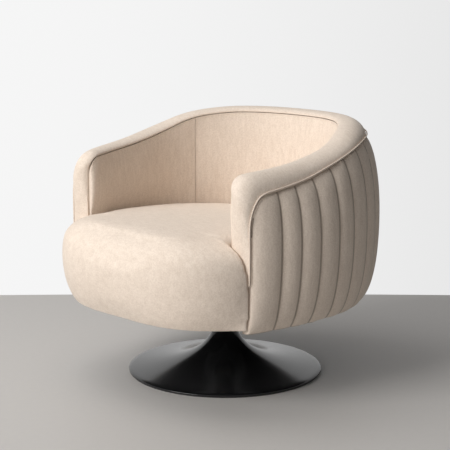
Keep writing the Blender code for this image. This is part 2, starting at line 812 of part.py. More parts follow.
def seat_rings(shrink, sink, floor=None):
    """Rings of the seat's shape from its middle outwards and down, drawn in by shrink and lowered by sink."""
    middle = Vector((0, notch() - shrink, 0))
    side_floor = rail_top() + SIDE_HEM_RISE
    profiles = [front_profile(i) for i in range(-FRONT_COLUMNS, FRONT_COLUMNS + 1)]
    edges = [(point, profile, SEAT_HEM) for point, profile in zip(front_points(shrink, middle.y), profiles)]
    inset = SEAT_CLEARANCE + shrink
    edge, length = ARM_FRONT + UNDER_BAND, PAD_ROUNDING[0]
    arm_ys = (middle.y + 2 * GAP, edge, edge + length / 3, edge + length * 0.85)
    arms = [[arm_station(side, y) for y in arm_ys] for side in (1, -1)]
    backs = arms[0] + RIGHT_SEAMS + BACK_SEAMS[::-1] + LEFT_SEAMS[::-1] + arms[1][::-1]
    for station in backs:
        edges.append((pad_face(station, inset), SIDE_PROFILE, side_floor))
    rings = []
    for inner in (0.34, 0.67):
        ring = []
        for edge, _profile, _low in edges:
            start = edge + (middle - edge).normalized() * EDGE_REACH
            point = middle.lerp(start, inner)
            point.z = seat_top(point.x, point.y) - sink
            ring.append(point)
        rings.append(ring)
    for step in range(len(FRONT_PROFILE)):
        ring = []
        for edge, profile, low in edges:
            share, down = profile[step]
            bottom = low if floor is None else max(low, floor)
            point = edge + (middle - edge).normalized() * EDGE_REACH * share
            top = seat_top(point.x, point.y) - sink
            height = top + (bottom - top) * down
            if floor is not None:
                natural = top + (low - top) * down
                height = max(natural, floor)
            point.z = height
            ring.append(point)
        rings.append(ring)
    middle.z = seat_top(0, middle.y) - sink
    return middle, rings


def add_rings(work, middle, rings):
    """Faces of a domed surface, and its outer ring of vertices."""
    centre = work.verts.new(middle)
    verts = [[work.verts.new(point) for point in ring] for ring in rings]
    count = len(rings[0])
    for i in range(count):
        after = (i + 1) % count
        work.faces.new((centre, verts[0][i], verts[0][after]))
        for near, far in zip(verts, verts[1:]):
            corners = (near[i], far[i], far[after], near[after])
            # The first corner decides how a bent face is split, so this mirrors the split.
            mirrored = near[i].co.x + near[after].co.x > 0
            work.faces.new(corners[1:] + corners[:1] if mirrored else corners)
    return verts[-1]


def make_seat_cover():
    """The cover of the seat, open underneath."""
    work = bmesh.new()
    outer = add_rings(work, *seat_rings(0.0, 0.0))
    inner = add_rings(work, *seat_rings(COVER, COVER))
    for i in range(len(outer)):
        after = (i + 1) % len(outer)
        work.faces.new((outer[i], inner[i], inner[after], outer[after]))
    return add_object("seat_cover", finish_mesh("seat_cover", work), "cream_cloth")


def foam_bottom():
    return rail_top() + 2 * SPRING_RADIUS + 3 * GAP


def make_seat_foam():
    """The seat's padding, flat underneath, where the springs carry it."""
    middle, rings = seat_rings(COVER + FOAM_GAP, COVER + FOAM_SEAT, foam_bottom())
    used = [ring for ring in rings if max(point.z for point in ring) > foam_bottom() + 0.012]
    last = [Vector((point.x, point.y, foam_bottom())) for point in used[-1]]
    work = bmesh.new()
    outer = add_rings(work, middle, used + [last])
    low = work.verts.new((middle.x, middle.y, foam_bottom()))
    for i in range(len(outer)):
        work.faces.new((outer[i], low, outer[(i + 1) % len(outer)]))
    return add_object("seat_foam", finish_mesh("seat_foam", work), "foam")


def make_front_foam():
    """Padding between the seat's front rail and its cover."""
    shrink = COVER + FOAM_GAP
    top = foam_bottom() - GAP
    profile = [(share * EDGE_REACH + shrink, SEAT_HEM + (seat_top(0, -SEAT_FRONT) - SEAT_HEM) * (1 - down))
               for share, down in FRONT_PROFILE[5:]]
    low = BOARD_BOTTOM - 0.0025
    outer = [(inset, height) for inset, height in profile if low < height < top]
    outer = [(shrink, top)] + outer + [(profile[-1][0] - 0.003, low)]
    stop = front_end()
    lines = [front_points(inset, stop) for inset, _height in outer]
    back = front_points(FRONT_PADDING, stop)
    sections = []
    for i in range(len(back)):
        section = []
        for line, (_inset, height) in zip(lines, outer):
            section.append(Vector((line[i].x, line[i].y, height)))
        section.append(Vector((back[i].x, back[i].y, low)))
        section.append(Vector((back[i].x, back[i].y, top)))
        sections.append(section)
    return lofted("front_foam", sections, "foam")


# Seat box

def box_front(inset):
    """Points of the seat box's front, which stops short of the padding's ends."""
    points = front_points(inset, front_end())
    for end, near in ((0, 1), (-1, -2)):
        short = (front_end() - BOX_CORNER - points[end].y) / (points[near].y - points[end].y)
        points[end] = points[end].lerp(points[near], short)
    return points


def bottom_outline(inset):
    """Outline of a flat piece under the seat: to the wall's panels behind and to the front's padding."""
    run = RIGHT_SEAMS + BACK_SEAMS[::-1] + LEFT_SEAMS[::-1]
    outline = [panel_back(station, BOARD_BOTTOM, RIB_GAP + inset) for station in run]
    return [(point.x, point.y) for point in outline + box_front(FRONT_PADDING + GAP + inset)]


def make_base_board():
    """The plywood bottom, shaped to the wall behind and to the seat's front."""
    board = plate("base_board", bottom_outline(0.0), BOARD_BOTTOM, BOARD_BOTTOM + BOARD_THICKNESS, "plywood")
    for i, (x, y) in enumerate(plate_bolt_places()):
        hole = round_outline(PLATE_BOLT + GAP, SMALL_STEPS, (x, y))
        cut(board, plate(f"board_hole_{i}", hole, BOARD_BOTTOM - 0.01, BOARD_BOTTOM + 0.05, "steel"))
    return board


def box_rail(name, pairs):
    """An upright board on the base board, along (near, far) pairs of plan points."""
    low = BOARD_BOTTOM + BOARD_THICKNESS + GAP
    high = rail_top()
    sections = []
    for near, far in pairs:
        corners = ((near, low), (near, high), (far, high), (far, low))
        sections.append([Vector((point.x, point.y, height)) for point, height in corners])
    return lofted(name, sections, "plywood")


def make_box_rails():
    outer = box_front(FRONT_PADDING + GAP)
    inner = box_front(FRONT_PADDING + GAP + RAIL_THICKNESS)
    box_rail("front_rail", zip(outer, inner))
    widest = HALF_FRONT - FRONT_BAND
    front = front_edge(widest, FRONT_PADDING + GAP + RAIL_THICKNESS) + GAP
    for name, side, run in side_runs():
        stations = trimmed([arm_station(side, front)] + run, SEAM_GAP)
        box_rail(f"{name}_rail", [rail_pair(station) for station in stations])
    box_rail("back_rail", [rail_pair(station) for station in middle_run()])


def rail_pair(station):
    return station.on(INSIDE, RAIL_INSET), station.on(INSIDE, RAIL_INSET + RAIL_THICKNESS)


def make_springs():
    """Sinuous springs from the front rail's top to the back rail's."""
    height = rail_top() + SPRING_RADIUS + GAP
    for i in range(SPRING_COUNT):
        x = (i - (SPRING_COUNT - 1) / 2) * SPRING_PITCH
        start = front_edge(x, FRONT_PADDING + RAIL_THICKNESS * 0.5)
        inset = RAIL_INSET + RAIL_THICKNESS * 0.5
        end = PLAN_CENTRE + (INSIDE.back - inset) * math.sqrt(1 - (x / (INSIDE.half_width - inset)) ** 2)
        points = []
        steps = SPRING_BENDS * 3
        for k in range(steps + 1):
            share = k / steps
            swing = SPRING_SWING * math.sin(math.pi * SPRING_BENDS * share)
            points.append((x + math.copysign(swing, x * swing), start + (end - start) * share, height))
        tube_along(f"seat_spring_{i + 1}", points, SPRING_RADIUS, "steel")


def plate_bolt_places():
    half = PLATE_BOLT_SPACING / 2
    return [(half, half), (-half, half), (-half, -half), (half, -half)]


def make_dust_cover():
    """Black cloth under the board, with a hole for the swivel plate."""
    top = BOARD_BOTTOM - GAP
    cloth = plate("dust_cover", bottom_outline(DUST_INSET), top - DUST_THICKNESS, top, "black_cloth")
    corner = PLATE_SIZE / 2 + 0.002
    hole = [(corner, corner), (-corner, corner), (-corner, -corner), (corner, -corner)]
    cut(cloth, plate("dust_hole", hole, top - 0.02, top + 0.02, "black_cloth"))
    return cloth


# Frame of the wall

def rail_section(station):
    near = pad_back(station, 0, GAP)
    far = station.on(WELT, PANEL_THICKNESS + GAP)
    depth = BAND_EDGE + RAIL_GAP
    corners = []
    for point, lower in ((near, 0.0), (far, 0.0), (far, TOP_RAIL_THICKNESS), (near, TOP_RAIL_THICKNESS)):
        corners.append(Vector((point.x, point.y, chord_height(station, point, depth) - lower)))
    return corners


def post_front():
    """y of the arm posts' front face."""
    return ARM_FRONT + UNDER_BAND


def make_top_rails():
    for name, side, run in side_runs():
        ends = (ARM_FRONT + OUTER_CORNER[0] + GAP, post_front() + POST_THICKNESS)
        stations = [arm_station(side, y) for y in ends] + with_halves(trimmed(run, SEAM_GAP))
        lofted(f"{name}_top_rail", [rail_section(station) for station in stations], "plywood")
    lofted("back_top_rail", [rail_section(station) for station in with_halves(middle_run())], "plywood")


def rib_section(station, clearance=RIB_GAP):
    """One face of a rib: up its inner edge and down its outer edge."""
    low = BOARD_BOTTOM + BOARD_THICKNESS + GAP
    rail = rail_section(station)
    near_top, far_top = rail[3].z - RAIL_GAP, rail[2].z - RAIL_GAP
    points = [pad_back(station, low, GAP), pad_back(station, near_top, GAP)]
    points += [Vector((rail[2].x, rail[2].y, far_top)), panel_back(station, far_top, clearance)]
    for height in panel_heights(station, PANEL_THICKNESS)[-2:1:-1]:
        points.append(panel_back(station, min(height, far_top - 0.004), clearance))
    points.append(panel_back(station, low, clearance))
    return points


def make_ribs():
    half = RIB_THICKNESS / 2
    for name, side, run in side_runs():
        post = corner_stations(side) + [arm_station(side, post_front() + POST_THICKNESS)]
        lofted(f"{name}_arm_post", [rib_section(face, POST_GAP) for face in post], "plywood")
        middles = (("arm", run[2]), ("side", run[-2]), ("back", BACK_SEAMS[6 if side < 0 else -7]))
        for place, middle in middles:
            faces = [Station(middle.path + offset) for offset in (-half, 0.0, half)]
            lofted(f"{name}_{place}_rib", [rib_section(face) for face in faces], "plywood")


# Base

def trumpet_line():
    """(radius, height) up the outside of the trumpet, from its rim to its neck."""
    rise = ((1.0, 0.052), (0.985, 0.075), (0.93, 0.090), (0.80, 0.128), (0.62, 0.193), (0.46, 0.285),
            (0.33, 0.405), (0.24, 0.540), (0.175, 0.690), (0.135, 0.850), (0.116, 1.0))
    scale = (NECK_RADIUS - 0.116 * BASE_RADIUS) / 0.884
    return [(share * BASE_RADIUS + scale * (1 - share), height * NECK_TOP) for share, height in rise]


def make_trumpet_base():
    outer = [(BASE_RADIUS, RING_HEIGHT + GAP)] + trumpet_line()
    inner = []
    for i, (radius, height) in enumerate(outer):
        before = outer[max(i - 1, 0)]
        after = outer[min(i + 1, len(outer) - 1)]
        along = Vector((after[0] - before[0], after[1] - before[1])).normalized()
        inner.append((radius + along.y * -TRUMPET_WALL, height + along.x * TRUMPET_WALL))
    inner[0] = (BASE_RADIUS - TRUMPET_WALL, RING_HEIGHT + GAP)
    inner[-1] = (NECK_RADIUS - TRUMPET_WALL, NECK_TOP)
    return turned("trumpet_base", outer + inner[::-1], "black_gloss", FINE_STEPS)


def make_floor_ring():
    outer = BASE_RADIUS - RING_INSET
    inner = outer - RING_WIDTH
    outline = [(inner, 0), (outer, 0), (outer + RING_CHAMFER, RING_HEIGHT), (inner, RING_HEIGHT)]
    return turned("floor_ring", outline, "plastic", FINE_STEPS)


def ballast_top():
    return RING_HEIGHT + GAP + BALLAST_BOSS_HEIGHT


def ballast_bolt_places():
    turns = [math.pi / 2 + math.tau * i / BALLAST_BOLTS for i in range(BALLAST_BOLTS)]
    return [(BALLAST_BOLT_CIRCLE * math.cos(a), BALLAST_BOLT_CIRCLE * math.sin(a)) for a in turns]


def make_ballast_plate():
    low = RING_HEIGHT + GAP
    top = ballast_top()
    step = low + BALLAST_THICKNESS
    outline = [(0, low), (BALLAST_RADIUS, low), (BALLAST_RADIUS, low + BALLAST_EDGE),
               (BALLAST_SLOPE_RADIUS, step), (BALLAST_BOSS_RADIUS, step),
               (BALLAST_BOSS_RADIUS - BALLAST_BOSS_CHAMFER, top), (0, top)]
    piece = solid_disc("ballast_plate", outline, "cast_iron")
    for i, (x, y) in enumerate(ballast_bolt_places()):
        hole = round_outline(BALLAST_BOLT + GAP, SMALL_STEPS, (x, y))
        cut(piece, plate(f"ballast_hole_{i}", hole, low - 0.01, top + 0.01, "steel"))
    return piece


def make_pedestal_tube():
    low = ballast_top() + GAP
    bore = TUBE_RADIUS - TUBE_WALL
    step = low + FLANGE_THICKNESS
    outline = [(bore, low), (FLANGE_RADIUS, low), (FLANGE_RADIUS, step),
               (TUBE_RADIUS + TUBE_WELD, step), (TUBE_RADIUS, step + TUBE_WELD),
               (TUBE_RADIUS, TUBE_TOP), (bore, TUBE_TOP)]
    piece = turned("pedestal_tube", outline, "steel")
    for i, (x, y) in enumerate(ballast_bolt_places()):
        hole = round_outline(BALLAST_BOLT + GAP, SMALL_STEPS, (x, y))
        cut(piece, plate(f"flange_hole_{i}", hole, low - 0.001, low + FLANGE_THICKNESS + 0.001, "steel"))
    return piece


def bolt_mesh(shank, length, head):
    """A bolt with its shank down along -Z from the head's seat at z = 0."""
    work = bmesh.new()
    outline = [(0, -length), (shank, -length), (shank, 0), (head, 0), (head, shank * 1.2), (0, shank * 1.2)]
    verts = [work.verts.new((radius, 0, height)) for radius, height in outline]
    edges = [work.edges.new((a, b)) for a, b in zip(verts, verts[1:])]
    bmesh.ops.spin(
        work, geom=edges, cent=(0, 0, 0), axis=(0, 0, 1), angle=math.tau, steps=SMALL_STEPS, use_merge=True
    )
    return finish_mesh("bolt", work)


def make_ballast_bolts():
    seat = ballast_top() + GAP + FLANGE_THICKNESS + GAP
    for i, (x, y) in enumerate(ballast_bolt_places()):
        mesh = bolt_mesh(BALLAST_BOLT, BALLAST_BOLT_LENGTH, BALLAST_BOLT * 1.7)
        bolt = add_object(f"ballast_bolt_{i + 1}", mesh, "steel")
        bolt.location = (x, y, seat)


def make_neck_collar():
    low = NECK_TOP + GAP
    bore = TUBE_RADIUS + GAP
    steps = [(COLLAR_RADIUS - inset, low + height) for inset, height in COLLAR_PROFILE]
    outline = [(bore, low), *steps, (bore, steps[-1][1])]
    return turned("neck_collar", outline, "black_gloss")


# Bearing

def race_bottom():
    return TUBE_TOP + GAP


def ball_height():
    return race_bottom() + RACE_THICKNESS + GAP + BALL_RADIUS


def upper_race_bottom():
    return ball_height() + BALL_RADIUS + GAP


def shoulder_bottom():
    return upper_race_bottom() + RACE_THICKNESS + GAP


def ring(name, inner, outer, low, high, finish):
    return turned(name, [(inner, low), (outer, low), (outer, high), (inner, high)], finish)


def make_bushes():
    bore = SPINDLE_RADIUS + RUNNING_FIT
    wall = TUBE_RADIUS - TUBE_WALL - GAP
    ring("upper_bush", bore, wall, TUBE_TOP - UPPER_BUSH_LENGTH, TUBE_TOP, "plastic")
    ring("lower_bush", bore, wall, lower_bush_bottom(), lower_bush_bottom() + LOWER_BUSH_LENGTH, "plastic")


def lower_bush_bottom():
    return ballast_top() + LOWER_BUSH_RISE


def make_races():
    bore = SPINDLE_RADIUS + 2 * RUNNING_FIT
    ring("lower_race", bore, RACE_RADIUS, race_bottom(), race_bottom() + RACE_THICKNESS, "steel")
    low = upper_race_bottom()
    ring("upper_race", SPINDLE_RADIUS + GAP, RACE_RADIUS, low, low + RACE_THICKNESS, "steel")


def ball_places():
    turns = [math.tau * i / BALL_COUNT for i in range(BALL_COUNT)]
    return [(BALL_CIRCLE * math.cos(a), BALL_CIRCLE * math.sin(a)) for a in turns]


def make_ball_cage():
    middle = ball_height()
    cage = ring("ball_cage", SPINDLE_RADIUS + 0.0022, RACE_RADIUS - 0.001, middle - CAGE_THICKNESS / 2,
                middle + CAGE_THICKNESS / 2, "brass")
    for i, (x, y) in enumerate(ball_places()):
        hole = round_outline(BALL_RADIUS + 2 * GAP, STEPS // 2, (x, y), 0.5)
        cut(cage, plate(f"cage_hole_{i}", hole, middle - CAGE_THICKNESS, middle + CAGE_THICKNESS, "brass"))
    return cage


def make_balls():
    for i, (x, y) in enumerate(ball_places()):
        work = bmesh.new()
        bmesh.ops.create_icosphere(work, subdivisions=2, radius=BALL_RADIUS)
        ball = add_object(f"bearing_ball_{i + 1}", finish_mesh("ball", work), "steel")
        ball.location = (x, y, ball_height())


# Spindle and plate

def plate_bottom():
    return BOARD_BOTTOM - GAP - PLATE_THICKNESS


def stud_bottom():
    return ballast_top() + STUD_CLEARANCE


def washer_top():
    return lower_bush_bottom() - RUNNING_FIT


def make_spindle():
    shoulder = shoulder_bottom()
    neck = shoulder + SHOULDER_HEIGHT + SHOULDER_STEP * 2 / 3
    top = plate_bottom() - GAP
    edge = top - SPINDLE_FLANGE_EDGE
    outline = [(0, stud_bottom()), (STUD_RADIUS, stud_bottom()), (STUD_RADIUS, washer_top()),
               (SPINDLE_RADIUS, washer_top() + GAP), (SPINDLE_RADIUS, shoulder), (RACE_RADIUS, shoulder),
               (RACE_RADIUS, neck - SHOULDER_STEP * 2 / 3), (RACE_RADIUS - SHOULDER_STEP, neck),
               (RACE_RADIUS - SHOULDER_STEP, edge - SPINDLE_FLANGE_FLARE), (SPINDLE_FLANGE_RADIUS, edge),
               (SPINDLE_FLANGE_RADIUS, top), (0, top)]
    return solid_disc("spindle", outline, "black_gloss")


def make_spindle_washer():
    low = washer_top() - WASHER_THICKNESS
    ring("spindle_washer", STUD_RADIUS + GAP, TUBE_RADIUS - TUBE_WALL - 0.001, low, washer_top(), "steel")


def make_spindle_nut():
    top = washer_top() - WASHER_THICKNESS - GAP
    nut = plate("spindle_nut", round_outline(NUT_RADIUS, 6), top - NUT_HEIGHT, top, "steel")
    hole = round_outline(STUD_RADIUS + GAP, SMALL_STEPS * 2)
    cut(nut, plate("nut_hole", hole, top - 0.02, top + 0.02, "steel"))


def make_swivel_plate():
    half = PLATE_SIZE / 2
    short = half - PLATE_CHAMFER
    outline = [(short, half), (-short, half), (-half, short), (-half, -short),
               (-short, -half), (short, -half), (half, -short), (half, short)]
    piece = plate("swivel_plate", outline, plate_bottom(), plate_bottom() + PLATE_THICKNESS, "steel")
    for i, (x, y) in enumerate(plate_bolt_places()):
        hole = round_outline(PLATE_BOLT + GAP, SMALL_STEPS, (x, y))
        cut(piece, plate(f"plate_hole_{i}", hole, plate_bottom() - 0.01, plate_bottom() + 0.02, "steel"))


def make_plate_bolts():
    for i, (x, y) in enumerate(plate_bolt_places()):
        mesh = bolt_mesh(PLATE_BOLT, PLATE_BOLT_LENGTH, PLATE_BOLT * 1.8)
        bolt = add_object(f"plate_bolt_{i + 1}", mesh, "steel")
        bolt.rotation_euler = (math.pi, 0, 0)
        bolt.location = (x, y, plate_bottom() - GAP)


# Axes

BASE_PIECES = ("trumpet_", "floor_", "ballast_", "pedestal_", "neck_", "lower_")
BEARING_PIECES = ("ball_cage", "bearing_ball")


def hang_on_axes():
    """Parents what turns to an empty on the swivel's axis, the bearing's own and the chair's own."""
    empties = {}
    for name in ("bearing_axis", "chair_axis"):
        empties[name] = bpy.data.objects.new(name, None)
        bpy.context.scene.collection.objects.link(empties[name])
    for piece in bpy.context.scene.objects:
        if piece.type == "EMPTY" or piece.hide_render or piece.name.startswith((*BASE_PIECES, "upper_bush")):
            continue
        piece.parent = empties["bearing_axis" if piece.name.startswith(BEARING_PIECES) else "chair_axis"]


def clear_scene():
    for old in list(bpy.data.objects):
        bpy.data.objects.remove(old, do_unlink=True)


def main():
    clear_scene()
    make_trumpet_base()
    make_floor_ring()
    make_ballast_plate()
    make_pedestal_tube()
    make_ballast_bolts()
    make_neck_collar()
    make_bushes()
    make_races()
    make_ball_cage()
    make_balls()
    make_spindle()
    make_spindle_washer()
    make_spindle_nut()
    make_swivel_plate()
    make_plate_bolts()
    make_dust_cover()
    make_base_board()
    make_box_rails()
    make_springs()
    make_ribs()
    make_top_rails()
    make_seat_foam()
    make_front_foam()
    make_seat_cover()
    make_inside_pads()
    make_outside_panels()
    make_rim_band()
    make_rim_welt()
    hang_on_axes()


main()
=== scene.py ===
"""Swivel armchair: the finished surfaces of a padded tub on a turned trumpet base.

Metres, +Z up, the front towards -Y. The origin is on the floor, on the swivel axis. Left and right in the
names are as seen from the front, so +X is right. The file is laid out as an add-on and is run as a script.
Each operator finishes one group of pieces around the packed frame.
"""

import json
import math

import bmesh
import bpy
import numpy as np
from bpy.props import FloatProperty, FloatVectorProperty, IntProperty, PointerProperty
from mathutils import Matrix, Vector, kdtree


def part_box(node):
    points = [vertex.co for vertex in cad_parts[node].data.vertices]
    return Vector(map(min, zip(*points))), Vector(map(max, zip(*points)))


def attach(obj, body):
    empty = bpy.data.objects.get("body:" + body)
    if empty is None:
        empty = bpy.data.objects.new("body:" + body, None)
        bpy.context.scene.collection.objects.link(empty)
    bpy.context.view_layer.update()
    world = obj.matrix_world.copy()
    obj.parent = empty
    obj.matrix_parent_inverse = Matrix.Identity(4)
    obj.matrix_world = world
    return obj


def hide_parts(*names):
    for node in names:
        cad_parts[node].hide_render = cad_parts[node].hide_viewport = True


bl_info = {
    "name": "Swivel armchair",
    "version": (1, 0, 0),
    "blender": (4, 5, 0),
    "location": "3D View > Sidebar > Armchair",
    "description": "Dresses the frame of a swivel tub armchair in padded cloth and black paint",
    "category": "Object",
}

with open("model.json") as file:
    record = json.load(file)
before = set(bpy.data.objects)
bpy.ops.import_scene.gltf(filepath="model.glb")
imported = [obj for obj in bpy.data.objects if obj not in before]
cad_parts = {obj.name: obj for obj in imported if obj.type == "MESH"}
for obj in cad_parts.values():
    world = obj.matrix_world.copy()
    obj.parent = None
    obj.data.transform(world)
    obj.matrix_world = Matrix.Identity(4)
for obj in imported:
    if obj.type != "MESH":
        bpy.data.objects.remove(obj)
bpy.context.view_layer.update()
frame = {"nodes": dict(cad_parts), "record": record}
NODES = frame["nodes"]

IMAGE_SIDE = 450  # pixels
SENSOR = 36.0  # millimetres

# Layers of the meshes
CREASE = "crease_edge"
SEAM = "seam"
SEAM_DISTANCE = "seam_distance"
EDGE_DISTANCE = "edge_distance"

# Clean-up of the copied meshes
MERGE = 2e-5  # vertices that are closer are one
QUAD_BEND = math.radians(50)  # the most bent pair of triangles that is joined
QUAD_SKEW = math.radians(80)  # the most skewed one
SLIVER = 1e-5  # square metres, the largest face that has no say in where an edge is
SHORTEST_EDGE = 0.0015

# Edges and seams, found by the angle between their faces
BORDER_ANGLE = math.radians(48)
SEAT_BORDER_ANGLE = math.radians(55)
CHANNEL_ANGLE = math.radians(7)
STEP_ANGLE = math.radians(30)
STEP_CREASE = 0.85
UPRIGHT_SHARE = 0.6  # rise of the flattest upright edge, as a share of its length
CHANNEL_CLEARANCE = 0.02  # from a panel's upright borders to the nearest seam
ROLL_SEGMENTS = 2
SEWN = 0.99  # mark of a vertex on a seam, which is 1 before the subdivision
SEAM_SAMPLE = 0.002  # between the points along an edge
FAR_FROM_SEAMS = 0.1  # distance that stands for no seam

# Seat
ARM_FRONT_REACH = 0.010  # from the arm posts to the rear edge of the seat's wings, at most
HEM_CENTRE_BACK = 0.1  # from the front foam's middle back to the place that the hem points to
SEAT_LEVELS = 2  # before the even mesh
SEAT_LAST_LEVELS = 1  # after it
SEAT_EVENING = 2
EVENING = 0.5
CLOTH_FRAMES = 20
CLOTH_QUALITY = 5
TINY = 1e-9

# Finishes and floor
SEAM_SHADOW_CORE = 0.3  # share of a seam's painted shadow line that is evenly dark
FLOOR_SIDES = 512
FLOOR_PATCHES = 0.95  # darker patches of the floor, as a share of its colour


# Settings

def number(name, description, default, **unit):
    return FloatProperty(name=name, description=description, default=default, **unit)


def length(name, description, default):
    return number(name, description, default, subtype="DISTANCE", unit="LENGTH", precision=4)


def share(name, description, default):
    return number(name, description, default, subtype="FACTOR", min=0.0, max=1.0)


def fineness(name, description, default):
    return IntProperty(name=name, description=description, default=default, min=1, max=4)


def colour(name, description, default):
    return FloatVectorProperty(
        name=name, description=description, default=default, subtype="COLOR", size=3, min=0.0, max=1.0
    )


def place(name, description, default):
    return FloatVectorProperty(
        name=name, description=description, default=default, subtype="TRANSLATION", size=3
    )


class ClothSettings(bpy.types.PropertyGroup):
    """The chair's cream chenille."""

    pale: colour("Pale", "Colour of the raised nap", (0.87, 0.755, 0.65))
    deep: colour("Deep", "Colour between the tufts of the nap", (0.74, 0.625, 0.525))
    # Painted shade: the colour of the dark line painted down in a seam, where the groove's shadow falls
    seam: colour("Seam", "Colour down in a seam", (0.12, 0.085, 0.062))
    roughness: share("Roughness", "How dull the cloth is", 0.92)
    sheen: share("Sheen", "Soft glow where the nap is seen edge on", 0.30)
    sheen_roughness: share("Sheen's roughness", "How wide that glow spreads", 0.45)
    sheen_tint: colour("Sheen's tint", "Colour of that glow", (0.95, 0.90, 0.83))
    tuft: length("Tuft", "Size of one tuft of the nap", 0.0032)
    # Painted shade: a dark line painted down each channel's seam stands for the shadow in its groove
    seam_shadow_line: length("Seam line", "Half width of the dark line down in a channel's seam", 0.0040)
    seam_shadow_strength: share("Line's strength", "How strongly that line darkens the cloth", 0.55)
    # Painted shade: the cloth is painted deeper near seams and borders, where shade falls between the
    # pieces
    seam_shade: length("Seam shade", "How far the shade of a seam reaches", 0.0080)
    shade_strength: share("Shade's strength", "How strongly that shade deepens the cloth", 0.4)


class PaddingSettings(bpy.types.PropertyGroup):
    """Edges, seams and swelling of the padded pieces."""

    roll: length("Rolled edge", "Width of the rolled edge of an outside panel", 0.0015)
    tuck: length("Tucked edge", "Width of the rolled edge of the band and the inside panels", 0.0007)
    welt_swell: share("Welt's swelling", "How much the welt swells, as a share of its radius", 0.6)
    seat_roll: length("Seat's rolled edge", "Width of the rolled edges of the seat's front", 0.0030)
    hem: length("Hem", "How far the seat's cloth is turned in underneath", 0.0050)
    foot_gap: length("Foot gap", "Gap between the seat's cloth and the arm posts", 0.0020)
    seam_depth: length("Seam depth", "How deep a channel's seam is pulled in", 0.0012)
    seam_width: length("Seam width", "Half width of a seam's groove", 0.0030)
    levels: fineness("Levels", "Subdivision of the padded pieces", 3)
    welt_levels: fineness("Welt's levels", "Subdivision of the welt", 2)
    pressure: number("Pressure", "Pressure of the padding on its cloth", 4.0)
    slack: share("Slack", "How much larger the cloth is than its padding, as a share", 0.004)
    most: length("Most swelling", "The most that the cloth may move", 0.0030)
    held: length("Held edge", "Width of the cloth that is held along a border", 0.0070)
    voxel: length("Voxel", "Grain of the cloth's mesh before it swells", 0.0050)


class BaseSettings(bpy.types.PropertyGroup):
    """The black base."""

    black: colour("Black", "Colour of the paint", (0.0035, 0.0035, 0.004))
    grey: colour("Grey", "Colour of the dust on it", (0.022, 0.022, 0.023))
    roughness: share("Roughness", "How dull the paint is", 0.17)
    levels: fineness("Levels", "Subdivision of the turned pieces", 2)


class StageSettings(bpy.types.PropertyGroup):
    """Camera, light and floor."""

    camera: place("Camera", "Place of the camera", (2.3087, -2.3087, 1.0202))
    target: place("Target", "What the camera looks at", (0.0, 0.0, 0.3779))
    focal_pixels: number("Focal length", "Focal length in pixels of the image", 1306.5)
    floor: colour("Floor", "Colour of the floor", (0.575, 0.555, 0.535))
    pale_wall: colour("Pale wall", "Colour of the backdrop on the left", (0.92, 0.92, 0.92))
    # Painted shade: the backdrop that the camera sees is painted darker towards the right
    dim_wall: colour("Dim wall", "Colour of the backdrop far to the right", (0.50, 0.50, 0.50))
    dim_light: colour("Dim light", "Colour of the light from far to the right", (0.14, 0.14, 0.14))
    pale_until: number("Pale until", "How far to the right the backdrop stays pale, as a sine", -0.20)
    dim_from: number("Dim from", "How far to the right the backdrop is dimmest, as a sine", 0.90)
    wall_distance: length("Wall", "How far behind the chair the floor ends", 0.78)
    floor_radius: length("Floor's radius", "Radius of the round floor", 20.0)
    lit: place("Lit", "What the lights shine at", (0.0, 0.0, 0.36))
    key: number("Key light", "Power of the large soft light", 288.0, unit="POWER")
    key_place: place("Key light's place", "Middle of the large soft light", (-0.80, -5.40, 3.40))
    key_size: length("Key light's size", "Side of the large soft light", 3.2)
    key_tint: colour("Key light's tint", "Colour of the large soft light", (1.0, 0.985, 0.965))
    top: number("Top light", "Power of the weak light overhead", 19.0, unit="POWER")
    top_place: place("Top light's place", "Middle of the weak light overhead", (-0.90, -0.70, 2.80))
    top_size: length("Top light's size", "Side of the weak light overhead", 1.6)
    top_tint: colour("Top light's tint", "Colour of the weak light overhead", (1.0, 0.99, 0.98))
    ambient: number("Ambient", "Strength of the light from all round", 0.31)


# Mesh tools

def cage(node):
    """A merged copy of a node's mesh in quads where it can be, with layers for creases and seams."""
    work = bmesh.new()
    work.from_mesh(NODES[node].data)
    work.edges.layers.float.new(CREASE)
    work.verts.layers.float.new(SEAM)
    bmesh.ops.remove_doubles(work, verts=work.verts, dist=MERGE)
    bmesh.ops.join_triangles(
        work, faces=work.faces, angle_face_threshold=QUAD_BEND, angle_shape_threshold=QUAD_SKEW
    )
    return work


def new_piece(name, work, body="chair"):
    """The bmesh as a smooth object that rides on a body."""
    mesh = bpy.data.meshes.new(name)
    work.to_mesh(mesh)
    work.free()
    mesh.materials.clear()
    for old in ("custom_normal", "sharp_edge"):
        if old in mesh.attributes:
            mesh.attributes.remove(mesh.attributes[old])
    mesh.shade_smooth()
    piece = bpy.data.objects.new(name, mesh)
    bpy.context.scene.collection.objects.link(piece)
    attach(piece, body)
    return piece


def apply_modifiers(piece):
    """Makes the modifiers part of the mesh."""
    graph = bpy.context.evaluated_depsgraph_get()
    mesh = bpy.data.meshes.new_from_object(
        piece.evaluated_get(graph), preserve_all_data_layers=True, depsgraph=graph
    )
    piece.modifiers.clear()
    piece.data = mesh
    mesh.shade_smooth()


def subdivide(piece, levels):
    """Subdivides the piece and keeps the result."""
    smooth = piece.modifiers.new("smooth", "SUBSURF")
    smooth.levels = levels
    smooth.render_levels = levels
    apply_modifiers(piece)


def sharp_edges(work, angle, hollow=False):
    """Edges whose faces meet at more than an angle, outwards or in a hollow."""
    side = -1.0 if hollow else 1.0
    return [
        edge for edge in work.edges
        if len(edge.link_faces) == 2 and side * edge.calc_face_angle_signed(0.0) > angle
    ]


